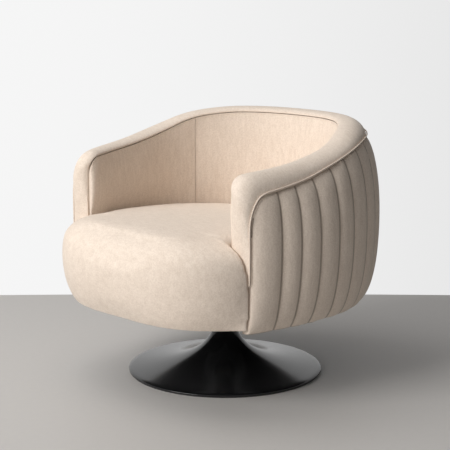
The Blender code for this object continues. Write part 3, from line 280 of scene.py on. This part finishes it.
def along(edges):
    """Points along the edges."""
    points = []
    for edge in edges:
        start, end = edge.verts[0].co, edge.verts[1].co
        steps = max(int((end - start).length / SEAM_SAMPLE), 1)
        points += [start.lerp(end, (i + 0.5) / steps) for i in range(steps)]
    return points


def vectors(collection, name):
    """One vector attribute of every element, as an array."""
    values = np.empty(len(collection) * 3, np.float32)
    collection.foreach_get(name, values)
    return values.reshape(-1, 3)


def distances(mesh, points):
    """Each vertex's distance to the nearest of the points."""
    if not points:
        return np.full(len(mesh.vertices), FAR_FROM_SEAMS, np.float32)
    tree = kdtree.KDTree(len(points))
    for i, point in enumerate(points):
        tree.insert(point, i)
    tree.balance()
    return np.array([tree.find(vertex.co)[2] for vertex in mesh.vertices], np.float32)


def roll_edges(work, edges, width):
    """Rounds the edges of a padded piece."""
    bmesh.ops.bevel(
        work, geom=edges, offset=width, offset_type="OFFSET", segments=ROLL_SEGMENTS, profile=0.5,
        affect="EDGES", clamp_overlap=True, material=-1,
    )


def mark_seams(work, edges):
    """Creases the seams and marks their vertices, which the subdivision keeps."""
    creases = work.edges.layers.float[CREASE]
    marks = work.verts.layers.float[SEAM]
    for edge in edges:
        edge[creases] = 1.0
        for vertex in edge.verts:
            vertex[marks] = 1.0


def sewn_points(mesh):
    """The vertices that lie on a marked seam."""
    values = np.empty(len(mesh.vertices), np.float32)
    mesh.attributes[SEAM].data.foreach_get("value", values)
    return [mesh.vertices[i].co.copy() for i in np.nonzero(values > SEWN)[0]]


def pull_in_seams(mesh, points, depth, width):
    """Pulls the surface in along the seams."""
    away = distances(mesh, points)
    places = vectors(mesh.vertices, "co")
    outwards = vectors(mesh.vertex_normals, "vector")
    pull = depth * np.exp(-((away / width) ** 2))
    mesh.vertices.foreach_set("co", (places - outwards * pull[:, None]).ravel())
    mesh.update()


def store_distances(mesh, seams, borders):
    """Keeps each vertex's distance to the nearest seam and border, for the painted seam shade in the
    cloth's finish.
    """
    for name, points in ((SEAM_DISTANCE, seams), (EDGE_DISTANCE, borders)):
        kept = mesh.attributes.new(name, "FLOAT", "POINT")
        kept.data.foreach_set("value", distances(mesh, points))


def remesh(piece, voxel):
    """Covers the piece with small even quads."""
    even = piece.modifiers.new("even", "REMESH")
    even.mode = "VOXEL"
    even.voxel_size = voxel
    apply_modifiers(piece)


def smooth(piece, times):
    """Evens out small lumps."""
    evened = piece.modifiers.new("evened", "SMOOTH")
    evened.factor = EVENING
    evened.iterations = times
    apply_modifiers(piece)


def swell(piece, held, padding):
    """Lets pressure fill the slack cloth between its held vertices, and limits how far it moves."""
    start = vectors(piece.data.vertices, "co")
    piece.vertex_groups.new(name="held").add(held, 1.0, "REPLACE")
    cloth = piece.modifiers.new("cloth", "CLOTH")
    cloth.settings.quality = CLOTH_QUALITY
    cloth.settings.vertex_group_mass = "held"
    cloth.settings.use_pressure = True
    cloth.settings.uniform_pressure_force = padding.pressure
    cloth.settings.shrink_min = -padding.slack
    cloth.settings.effector_weights.gravity = 0.0
    cloth.collision_settings.use_collision = False
    cloth.point_cache.frame_start = 1
    cloth.point_cache.frame_end = CLOTH_FRAMES
    for moment in range(1, CLOTH_FRAMES + 1):
        bpy.context.scene.frame_set(moment)
    apply_modifiers(piece)
    bpy.context.scene.frame_set(1)
    moved = vectors(piece.data.vertices, "co") - start
    far = np.linalg.norm(moved, axis=1, keepdims=True)
    moved *= np.minimum(1.0, padding.most / np.maximum(far, TINY))
    piece.data.vertices.foreach_set("co", (start + moved).ravel())
    piece.data.update()


# Node materials

class Signal:
    """An output of a node. Sums, differences and products of outputs add Math nodes."""

    def __init__(self, tree, socket):
        self.tree = tree
        self.socket = socket

    def _with(self, operation, first, second):
        return self.tree.node("ShaderNodeMath", {"operation": operation}, {0: first, 1: second})

    def __add__(self, other):
        return self._with("ADD", self, other)

    def __sub__(self, other):
        return self._with("SUBTRACT", self, other)

    def __rsub__(self, other):
        return self._with("SUBTRACT", other, self)

    def __mul__(self, other):
        return self._with("MULTIPLY", self, other)

    __radd__ = __add__
    __rmul__ = __mul__

    def at_most(self, other):
        return self._with("MINIMUM", self, other)


class Tree:
    """The nodes of a material or of the world."""

    def __init__(self, holder):
        holder.use_nodes = True
        self.nodes = holder.node_tree.nodes
        self.links = holder.node_tree.links

    def set(self, made, sockets):
        """Sets or links the sockets of a node."""
        for key, value in sockets.items():
            socket = made.inputs[key]
            if isinstance(value, Signal):
                self.links.new(value.socket, socket)
            elif socket.type == "RGBA":
                socket.default_value = (*value[:3], 1.0)
            else:
                socket.default_value = value

    def node(self, kind, settings=None, sockets=None, output=0):
        """Adds a node with its settings and sockets, and returns one of its outputs."""
        made = self.nodes.new(kind)
        for key, value in (settings or {}).items():
            setattr(made, key, value)
        self.set(made, sockets or {})
        return Signal(self, made.outputs[output])

    def blend(self, first, second, factor):
        """A mix of two colours."""
        settings = {"data_type": "RGBA", "blend_type": "MIX", "clamp_factor": True}
        return self.node("ShaderNodeMix", settings, {0: factor, 6: first, 7: second}, output=2)

    def ramp(self, value, low, high, smooth=True):
        """0 where the value is below low and 1 where it is above high."""
        kind = "SMOOTHSTEP" if smooth else "LINEAR"
        sockets = {"Value": value, "From Min": low, "From Max": high}
        return self.node("ShaderNodeMapRange", {"interpolation_type": kind, "clamp": True}, sockets)

    def seen_directly(self):
        """1 for what the camera sees, also in gloss or through glass."""
        rays = [
            self.node("ShaderNodeLightPath", output=name)
            for name in ("Is Camera Ray", "Is Glossy Ray", "Is Transmission Ray")
        ]
        return (rays[0] + rays[1] + rays[2]).at_most(1.0)


class Finish(Tree):
    """A node material with one Principled shader."""

    def __init__(self, name, roughness=0.5, metallic=0.0, **settings):
        self.material = bpy.data.materials.new(name)
        super().__init__(self.material)
        self.shader = self.nodes["Principled BSDF"]
        self.surface(Roughness=roughness, Metallic=metallic, **settings)

    def surface(self, **sockets):
        """Sets or links sockets of the shader, whose spaces are written as underscores."""
        self.set(self.shader, {key.replace("_", " "): value for key, value in sockets.items()})

    def place(self, stretch=(1.0, 1.0, 1.0)):
        """Place on the piece, stretched along the axes."""
        where = self.node("ShaderNodeTexCoord", output="Object")
        return self.node("ShaderNodeVectorMath", {"operation": "MULTIPLY"}, {0: where, 1: stretch})

    def noise(self, scale, detail, roughness, stretch=(1.0, 1.0, 1.0)):
        """Noise from 0 to 1 whose grains are about 1 / scale metres wide."""
        sockets = {"Vector": self.place(stretch), "Scale": scale, "Detail": detail, "Roughness": roughness}
        return self.node("ShaderNodeTexNoise", None, sockets)

    def attribute(self, name):
        """A number kept on the mesh's vertices."""
        return self.node("ShaderNodeAttribute", {"attribute_name": name}, output="Fac")

    def bump(self, height, distance, strength):
        """A normal bent by a height from 0 to 1."""
        sockets = {"Strength": strength, "Distance": distance, "Height": height}
        return self.node("ShaderNodeBump", None, sockets)


def cloth_finish(cloth, name, upright):
    """Chenille: tufts, short streaks and soft patches, with painted shade along the seams and borders and
    a dark painted shadow line down in each seam.
    """
    finish = Finish(name, roughness=cloth.roughness)
    finish.surface(
        Sheen_Weight=cloth.sheen, Sheen_Roughness=cloth.sheen_roughness, Sheen_Tint=cloth.sheen_tint
    )
    tufts = finish.noise(0.9 / cloth.tuft, detail=3.0, roughness=0.62)
    along_wall = (1.0, 1.0, 0.22) if upright else (0.45, 1.0, 0.45)
    streaks = finish.noise(0.42 / cloth.tuft, detail=2.0, roughness=0.55, stretch=along_wall)
    patches = finish.noise(34.0, detail=2.0, roughness=0.5, stretch=(1.0, 1.0, 0.6))
    tone = tufts * 0.60 + streaks * 0.32 + patches * 0.08
    tone = finish.ramp(tone, 0.38, 0.62, smooth=False)
    from_seam = finish.attribute(SEAM_DISTANCE)
    from_edge = finish.attribute(EDGE_DISTANCE)
    # Painted shade: deeper colour near seams and borders, where shade falls between the pieces
    shade = 1.0 - finish.ramp(from_seam.at_most(from_edge), 0.0, cloth.seam_shade)
    # Painted shade: a dark line down in each seam, for the shadow in its groove
    line = 1.0 - finish.ramp(from_seam, cloth.seam_shadow_line * SEAM_SHADOW_CORE, cloth.seam_shadow_line)
    base = finish.blend(cloth.deep, cloth.pale, tone)
    shaded = finish.blend(base, cloth.deep, shade * cloth.shade_strength)
    finish.surface(Base_Color=finish.blend(shaded, cloth.seam, line * cloth.seam_shadow_strength))
    gathers = finish.noise(105.0, detail=1.0, roughness=0.4) * shade
    height = tufts * 0.50 + streaks * 0.35 + gathers * 1.6 + patches * 0.35
    finish.surface(Normal=finish.bump(height, distance=0.0014, strength=0.75))
    return finish.material


def paint_finish(base):
    """Gloss black paint with a faint unevenness and a little dust."""
    finish = Finish("black_paint", Coat_Weight=0.10, Coat_Roughness=0.08, Specular_IOR_Level=0.30)
    cloud = finish.noise(14.0, detail=3.0, roughness=0.6)
    dust = finish.noise(900.0, detail=2.0, roughness=0.7)
    ripple = finish.noise(220.0, detail=2.0, roughness=0.5)
    greyness = cloud * 0.5 + finish.ramp(dust, 0.66, 0.78) * 0.25
    finish.surface(
        Base_Color=finish.blend(base.black, base.grey, greyness),
        Roughness=cloud * 0.08 + (base.roughness - 0.04) + finish.ramp(dust, 0.62, 0.8) * 0.05,
        Normal=finish.bump(ripple, distance=0.00006, strength=0.5),
    )
    return finish.material


def steel_finish():
    """Bright zinc plate on steel."""
    return metal_finish("zinc_plate", pale=(0.66, 0.67, 0.69), deep=(0.42, 0.43, 0.45), roughness=0.34)


def brass_finish():
    """Pressed brass sheet."""
    return metal_finish("brass_sheet", pale=(0.80, 0.63, 0.30), deep=(0.55, 0.40, 0.17), roughness=0.35)


def metal_finish(name, pale, deep, roughness):
    """Bare metal with fine scratches and duller patches."""
    finish = Finish(name, metallic=1.0)
    scratches = finish.noise(700.0, detail=3.0, roughness=0.6)
    patches = finish.noise(30.0, detail=3.0, roughness=0.6)
    finish.surface(
        Base_Color=finish.blend(deep, pale, scratches * 0.5 + patches * 0.5),
        Roughness=patches * 0.22 + (roughness - 0.11),
        Normal=finish.bump(scratches, distance=0.00008, strength=0.6),
    )
    return finish.material


def cast_finish():
    """Rough grey cast iron."""
    finish = Finish("cast_iron", metallic=0.8)
    grain = finish.noise(420.0, detail=4.0, roughness=0.7)
    finish.surface(
        Base_Color=finish.blend((0.05, 0.05, 0.055), (0.14, 0.135, 0.13), grain),
        Roughness=grain * 0.25 + 0.45,
        Normal=finish.bump(grain, distance=0.0006, strength=0.8),
    )
    return finish.material


def plywood_finish():
    """Birch plywood: thin layers up the edge and a long grain."""
    finish = Finish("birch_plywood")
    grain = finish.noise(55.0, detail=4.0, roughness=0.6, stretch=(0.12, 1.0, 3.0))
    fibres = finish.noise(480.0, detail=3.0, roughness=0.6, stretch=(0.06, 1.0, 1.0))
    layers = finish.noise(640.0, detail=0.0, roughness=0.5, stretch=(0.004, 0.004, 1.0))
    tone = grain * 0.55 + fibres * 0.25 + layers * 0.20
    finish.surface(
        Base_Color=finish.blend((0.40, 0.27, 0.15), (0.70, 0.53, 0.34), finish.ramp(tone, 0.33, 0.67)),
        Roughness=fibres * 0.2 + 0.55,
        Normal=finish.bump(fibres * 0.6 + grain * 0.4, distance=0.0003, strength=0.6),
    )
    return finish.material


def plastic_finish():
    """Black moulded plastic with a fine spark grain."""
    finish = Finish("moulded_plastic")
    grain = finish.noise(1200.0, detail=2.0, roughness=0.6)
    finish.surface(
        Base_Color=finish.blend((0.030, 0.030, 0.031), (0.060, 0.060, 0.062), grain),
        Roughness=grain * 0.2 + 0.42,
        Normal=finish.bump(grain, distance=0.0001, strength=0.6),
    )
    return finish.material


def dust_cloth_finish():
    """Black non-woven cloth with pressed dots."""
    finish = Finish("dust_cloth", roughness=0.95)
    sockets = {"Vector": finish.place(), "Scale": 420.0}
    dots = finish.node("ShaderNodeTexVoronoi", {"feature": "F1"}, sockets, output="Distance")
    fibres = finish.noise(600.0, detail=4.0, roughness=0.7)
    finish.surface(
        Base_Color=finish.blend((0.012, 0.012, 0.013), (0.05, 0.05, 0.052), fibres * 0.6 + dots * 0.6),
        Normal=finish.bump(dots * 0.5 + fibres * 0.5, distance=0.0003, strength=0.8),
    )
    return finish.material


def floor_finish(stage):
    """A plain floor with a faint unevenness."""
    finish = Finish("floor", roughness=0.55)
    darker = tuple(FLOOR_PATCHES * part for part in stage.floor)
    clouds = finish.noise(60.0, detail=3.0, roughness=0.6)
    finish.surface(Base_Color=finish.blend(stage.floor, darker, clouds))
    return finish.material


# Padded pieces

def finish_padded(piece, node_names, material):
    """What every padded piece gets once its shape is done."""
    piece.data.materials.append(material)
    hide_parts(*node_names)


def is_upright(edge):
    """Whether an edge runs more up than across."""
    run = edge.verts[1].co - edge.verts[0].co
    return abs(run.z) > UPRIGHT_SHARE * run.length


def channel_seams(work, borders):
    """The upright hollows between the channels, which stay clear of a panel's upright borders."""
    ends = [edge.verts[0].co.xy for edge in borders if is_upright(edge)]
    hollows = [edge for edge in sharp_edges(work, CHANNEL_ANGLE, hollow=True) if is_upright(edge)]
    return [
        edge for edge in hollows
        if all((edge.verts[0].co.xy - end).length > CHANNEL_CLEARANCE for end in ends)
    ]


def upholster(node, padding, material, roll, channelled=False):
    """A smooth padded piece in the place of a node, with rolled edges and, if told so, sewn channels."""
    work = cage(node)
    edges = sharp_edges(work, BORDER_ANGLE)
    borders = along(edges)
    if channelled:
        mark_seams(work, channel_seams(work, edges))
    roll_edges(work, edges, roll)
    piece = new_piece(f"{node}_cloth", work)
    subdivide(piece, padding.levels)
    seams = sewn_points(piece.data)
    if seams:
        pull_in_seams(piece.data, seams, padding.seam_depth, padding.seam_width)
        seams += borders
    store_distances(piece.data, seams, borders)
    finish_padded(piece, [node], material)


def closed_seat(hem, foot_gap):
    """The outer sheet of the seat's cover, turned in at the hem and closed above the springs.

    The rear edges of its wings reach back to the arm posts.
    """
    work = cage("seat_cover")
    low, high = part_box("front_foam")
    middle = (low + high) / 2
    inner = [face for face in work.faces if face.normal.dot(face.calc_center_median() - middle) < 0]
    bmesh.ops.delete(work, geom=inner, context="FACES")
    bmesh.ops.dissolve_degenerate(work, edges=work.edges, dist=SHORTEST_EDGE)
    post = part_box("right_arm_post")[0]
    band_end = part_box("rim_band")[0].z
    for vertex in work.verts:
        in_front = post.y - ARM_FRONT_REACH < vertex.co.y < post.y
        if in_front and abs(vertex.co.x) > post.x and vertex.co.z < band_end:
            vertex.co.y = post.y - foot_gap
    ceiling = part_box("seat_foam")[0].z
    for lift in (False, True):
        border = [edge for edge in work.edges if edge.is_boundary]
        made = bmesh.ops.extrude_edge_only(work, edges=border)["geom"]
        for vertex in [item for item in made if isinstance(item, bmesh.types.BMVert)]:
            if lift:
                vertex.co.z = max(vertex.co.z, ceiling)
            else:
                inwards = Vector((-vertex.co.x, middle.y + HEM_CENTRE_BACK - vertex.co.y, 0)).normalized()
                vertex.co += inwards * hem
    bmesh.ops.holes_fill(work, edges=[edge for edge in work.edges if edge.is_boundary], sides=0)
    bmesh.ops.remove_doubles(work, verts=work.verts, dist=MERGE)
    bmesh.ops.recalc_face_normals(work, faces=work.faces)
    return work


def make_seat(padding, material):
    """The seat with its front, which wraps across the arms."""
    work = closed_seat(padding.hem, padding.foot_gap)
    edges = [
        edge for edge in sharp_edges(work, SEAT_BORDER_ANGLE)
        if min(face.calc_area() for face in edge.link_faces) > SLIVER
    ]
    borders = along(edges)
    roll_edges(work, edges, padding.seat_roll)
    piece = new_piece("seat_cloth", work)
    subdivide(piece, SEAT_LEVELS)
    remesh(piece, padding.voxel)
    smooth(piece, SEAT_EVENING)
    near_border = distances(piece.data, borders) < padding.held
    level = vectors(piece.data.vertices, "co")[:, 2]
    held = np.nonzero(near_border | (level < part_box("front_foam")[0].z + padding.held))[0]
    swell(piece, held.tolist(), padding)
    smooth(piece, SEAT_EVENING)
    subdivide(piece, SEAT_LAST_LEVELS)
    store_distances(piece.data, seams=[], borders=borders)
    finish_padded(piece, ["seat_cover", "seat_foam", "front_foam"], material)


def make_inside(padding, material):
    """The padded panels inside the tub."""
    for node in ("inside_left_arm", "inside_back", "inside_right_arm"):
        upholster(node, padding, material, padding.tuck)


def make_outside(padding, material):
    """The channelled panels outside the tub."""
    for node in ("outside_left", "outside_back", "outside_right"):
        upholster(node, padding, material, padding.roll, channelled=True)


def make_rim(padding, material):
    """The band over the rim and the welt along its outer seam.

    The cloth's finish reads distances for its painted seam shade on the welt too, so it gets the ones that
    stand for no seam.
    """
    upholster("rim_band", padding, material, padding.tuck)
    work = cage("rim_welt")
    thicker = padding.welt_swell * welt_radius(work)
    for vertex in work.verts:
        vertex.co += vertex.normal * thicker
    welt = new_piece("rim_welt_cloth", work)
    subdivide(welt, padding.welt_levels)
    store_distances(welt.data, seams=[], borders=[])
    welt.data.materials.append(material)
    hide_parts("rim_welt")


def welt_radius(work):
    """Radius of the welt's bar, from the area of one of its ends."""
    end = min(work.faces, key=lambda face: face.calc_center_median().z)
    return math.sqrt(end.calc_area() / 2)


# Base and what is inside

def make_base(base, paint):
    """The painted turned pieces, smooth round the axis and crisp at their steps."""
    bodies = {"trumpet_base": "base", "neck_collar": "base", "spindle": "chair"}
    for node, body in bodies.items():
        work = cage(node)
        creases = work.edges.layers.float[CREASE]
        for edge in sharp_edges(work, STEP_ANGLE) + sharp_edges(work, STEP_ANGLE, hollow=True):
            edge[creases] = STEP_CREASE
        piece = new_piece(f"{node}_painted", work, body)
        subdivide(piece, base.levels)
        piece.data.materials.append(paint)
        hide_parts(node)


def finish_nodes(finishes):
    """Gives each node that stays its material, by its slot in the record."""
    slots = {part["node"]: part["material_slot"] for part in frame["record"]["subparts"]}
    for name, piece in NODES.items():
        if not piece.hide_render:
            piece.data.materials.clear()
            piece.data.materials.append(finishes[slots[name]])


# Stage

def aimed(name, data, spot, target):
    """An object at a spot, turned towards a target."""
    made = bpy.data.objects.new(name, data)
    bpy.context.scene.collection.objects.link(made)
    made.location = spot
    made.rotation_euler = (Vector(target) - Vector(spot)).to_track_quat("-Z", "Y").to_euler()
    return made


def make_camera(stage):
    """The camera at the photographed angle."""
    data = bpy.data.cameras.new("camera")
    data.sensor_width = SENSOR
    data.lens = stage.focal_pixels * SENSOR / IMAGE_SIDE
    bpy.context.scene.camera = aimed("camera", data, stage.camera, stage.target)


def make_light(name, spot, size, power, tint, target):
    """A soft square light that shines at a target."""
    data = bpy.data.lights.new(name, "AREA")
    data.shape = "SQUARE"
    data.size = size
    data.energy = power
    data.color = tint
    aimed(name, data, spot, target)


def make_floor(stage):
    """A plain round floor that ends a little way behind the chair."""
    work = bmesh.new()
    bmesh.ops.create_circle(work, cap_ends=True, segments=FLOOR_SIDES, radius=stage.floor_radius)
    mesh = bpy.data.meshes.new("floor")
    work.to_mesh(mesh)
    work.free()
    floor = bpy.data.objects.new("floor", mesh)
    bpy.context.scene.collection.objects.link(floor)
    ahead = Vector((stage.camera[0], stage.camera[1], 0.0)).normalized()
    floor.location = ahead * (stage.floor_radius - stage.wall_distance)
    mesh.materials.append(floor_finish(stage))


def make_world(stage):
    """A backdrop to look at, painted darker towards the right as painted shade, and a plain light from all
    round that is dimmer towards the right.
    """
    world = bpy.data.worlds.new("studio")
    bpy.context.scene.world = world
    tree = Tree(world)
    way = tree.node("ShaderNodeTexCoord", output="Generated")
    right = Vector((-stage.camera[1], stage.camera[0], 0.0)).normalized()
    across = tree.node(
        "ShaderNodeVectorMath", {"operation": "DOT_PRODUCT"}, {0: way, 1: right}, output="Value"
    )
    dimming = tree.ramp(across, stage.pale_until, stage.dim_from)
    # Painted shade: the backdrop seen directly, also in gloss, grows darker towards the right
    wall = tree.blend(stage.pale_wall, stage.dim_wall, dimming)
    glow = tree.blend(stage.pale_wall, stage.dim_light, dimming)
    light = tree.node("ShaderNodeBackground", None, {"Color": glow, "Strength": stage.ambient})
    backdrop = tree.node("ShaderNodeBackground", None, {"Color": wall, "Strength": 1.0})
    mixed = tree.node("ShaderNodeMixShader", None, {0: tree.seen_directly(), 1: light, 2: backdrop})
    tree.set(tree.nodes["World Output"], {"Surface": mixed})


def make_stage(stage):
    """Floor, backdrop, lights and camera."""
    bpy.context.scene.view_settings.view_transform = "Standard"
    make_floor(stage)
    make_world(stage)
    make_light("key", stage.key_place, stage.key_size, stage.key, stage.key_tint, stage.lit)
    make_light("top", stage.top_place, stage.top_size, stage.top, stage.top_tint, stage.lit)
    make_camera(stage)


# Operators

class ARMCHAIR_OT_make_base(bpy.types.Operator):
    """Model the painted trumpet, its collar and the spindle's neck"""

    bl_idname = "armchair.make_base"
    bl_label = "Base"

    def execute(self, context):
        base = context.scene.armchair_base
        make_base(base, paint_finish(base))
        return {"FINISHED"}


class ARMCHAIR_OT_make_seat(bpy.types.Operator):
    """Model the padded seat with its rounded front"""

    bl_idname = "armchair.make_seat"
    bl_label = "Seat"

    def execute(self, context):
        scene = context.scene
        cloth = cloth_finish(scene.armchair_cloth, "seat_cloth", upright=False)
        make_seat(scene.armchair_padding, cloth)
        return {"FINISHED"}


class ARMCHAIR_OT_make_inside(bpy.types.Operator):
    """Model the padded panels inside the tub"""

    bl_idname = "armchair.make_inside"
    bl_label = "Inside"

    def execute(self, context):
        scene = context.scene
        cloth = cloth_finish(scene.armchair_cloth, "inside_cloth", upright=True)
        make_inside(scene.armchair_padding, cloth)
        return {"FINISHED"}


class ARMCHAIR_OT_make_outside(bpy.types.Operator):
    """Model the channelled panels outside the tub"""

    bl_idname = "armchair.make_outside"
    bl_label = "Outside"

    def execute(self, context):
        scene = context.scene
        cloth = cloth_finish(scene.armchair_cloth, "outside_cloth", upright=True)
        make_outside(scene.armchair_padding, cloth)
        return {"FINISHED"}


class ARMCHAIR_OT_make_rim(bpy.types.Operator):
    """Model the band over the rim and its welt"""

    bl_idname = "armchair.make_rim"
    bl_label = "Rim"

    def execute(self, context):
        scene = context.scene
        cloth = cloth_finish(scene.armchair_cloth, "rim_cloth", upright=False)
        make_rim(scene.armchair_padding, cloth)
        return {"FINISHED"}


class ARMCHAIR_OT_finish_inner(bpy.types.Operator):
    """Give the frame, bearing, springs and fasteners their materials"""

    bl_idname = "armchair.finish_inner"
    bl_label = "Inner pieces"

    def execute(self, context):
        finish_nodes({
            "steel": steel_finish(),
            "brass": brass_finish(),
            "cast_iron": cast_finish(),
            "plywood": plywood_finish(),
            "plastic": plastic_finish(),
            "black_cloth": dust_cloth_finish(),
        })
        return {"FINISHED"}


class ARMCHAIR_OT_make_stage(bpy.types.Operator):
    """Set the floor, the light and the camera"""

    bl_idname = "armchair.make_stage"
    bl_label = "Stage"

    def execute(self, context):
        make_stage(context.scene.armchair_stage)
        return {"FINISHED"}


class ARMCHAIR_PT_panel(bpy.types.Panel):
    """The chair's pieces and settings"""

    bl_idname = "ARMCHAIR_PT_panel"
    bl_label = "Armchair"
    bl_space_type = "VIEW_3D"
    bl_region_type = "UI"
    bl_category = "Armchair"

    def draw(self, context):
        for operator in OPERATORS:
            self.layout.operator(operator.bl_idname)
        for name, group in GROUPS.items():
            box = self.layout.box()
            box.label(text=group.__doc__)
            for setting in group.__annotations__:
                box.prop(getattr(context.scene, name), setting)


GROUPS = {
    "armchair_cloth": ClothSettings,
    "armchair_padding": PaddingSettings,
    "armchair_base": BaseSettings,
    "armchair_stage": StageSettings,
}
OPERATORS = (
    ARMCHAIR_OT_make_base,
    ARMCHAIR_OT_make_seat,
    ARMCHAIR_OT_make_inside,
    ARMCHAIR_OT_make_outside,
    ARMCHAIR_OT_make_rim,
    ARMCHAIR_OT_finish_inner,
    ARMCHAIR_OT_make_stage,
)


def register():
    for made in (*GROUPS.values(), *OPERATORS, ARMCHAIR_PT_panel):
        bpy.utils.register_class(made)
    for name, group in GROUPS.items():
        setattr(bpy.types.Scene, name, PointerProperty(type=group))


def unregister():
    for name in GROUPS:
        delattr(bpy.types.Scene, name)
    for made in (ARMCHAIR_PT_panel, *reversed(OPERATORS), *reversed(GROUPS.values())):
        bpy.utils.unregister_class(made)


def main():
    register()
    bpy.ops.armchair.make_base()
    bpy.ops.armchair.make_seat()
    bpy.ops.armchair.make_inside()
    bpy.ops.armchair.make_outside()
    bpy.ops.armchair.make_rim()
    bpy.ops.armchair.finish_inner()
    bpy.ops.armchair.make_stage()


if __name__ == "__main__":
    main()
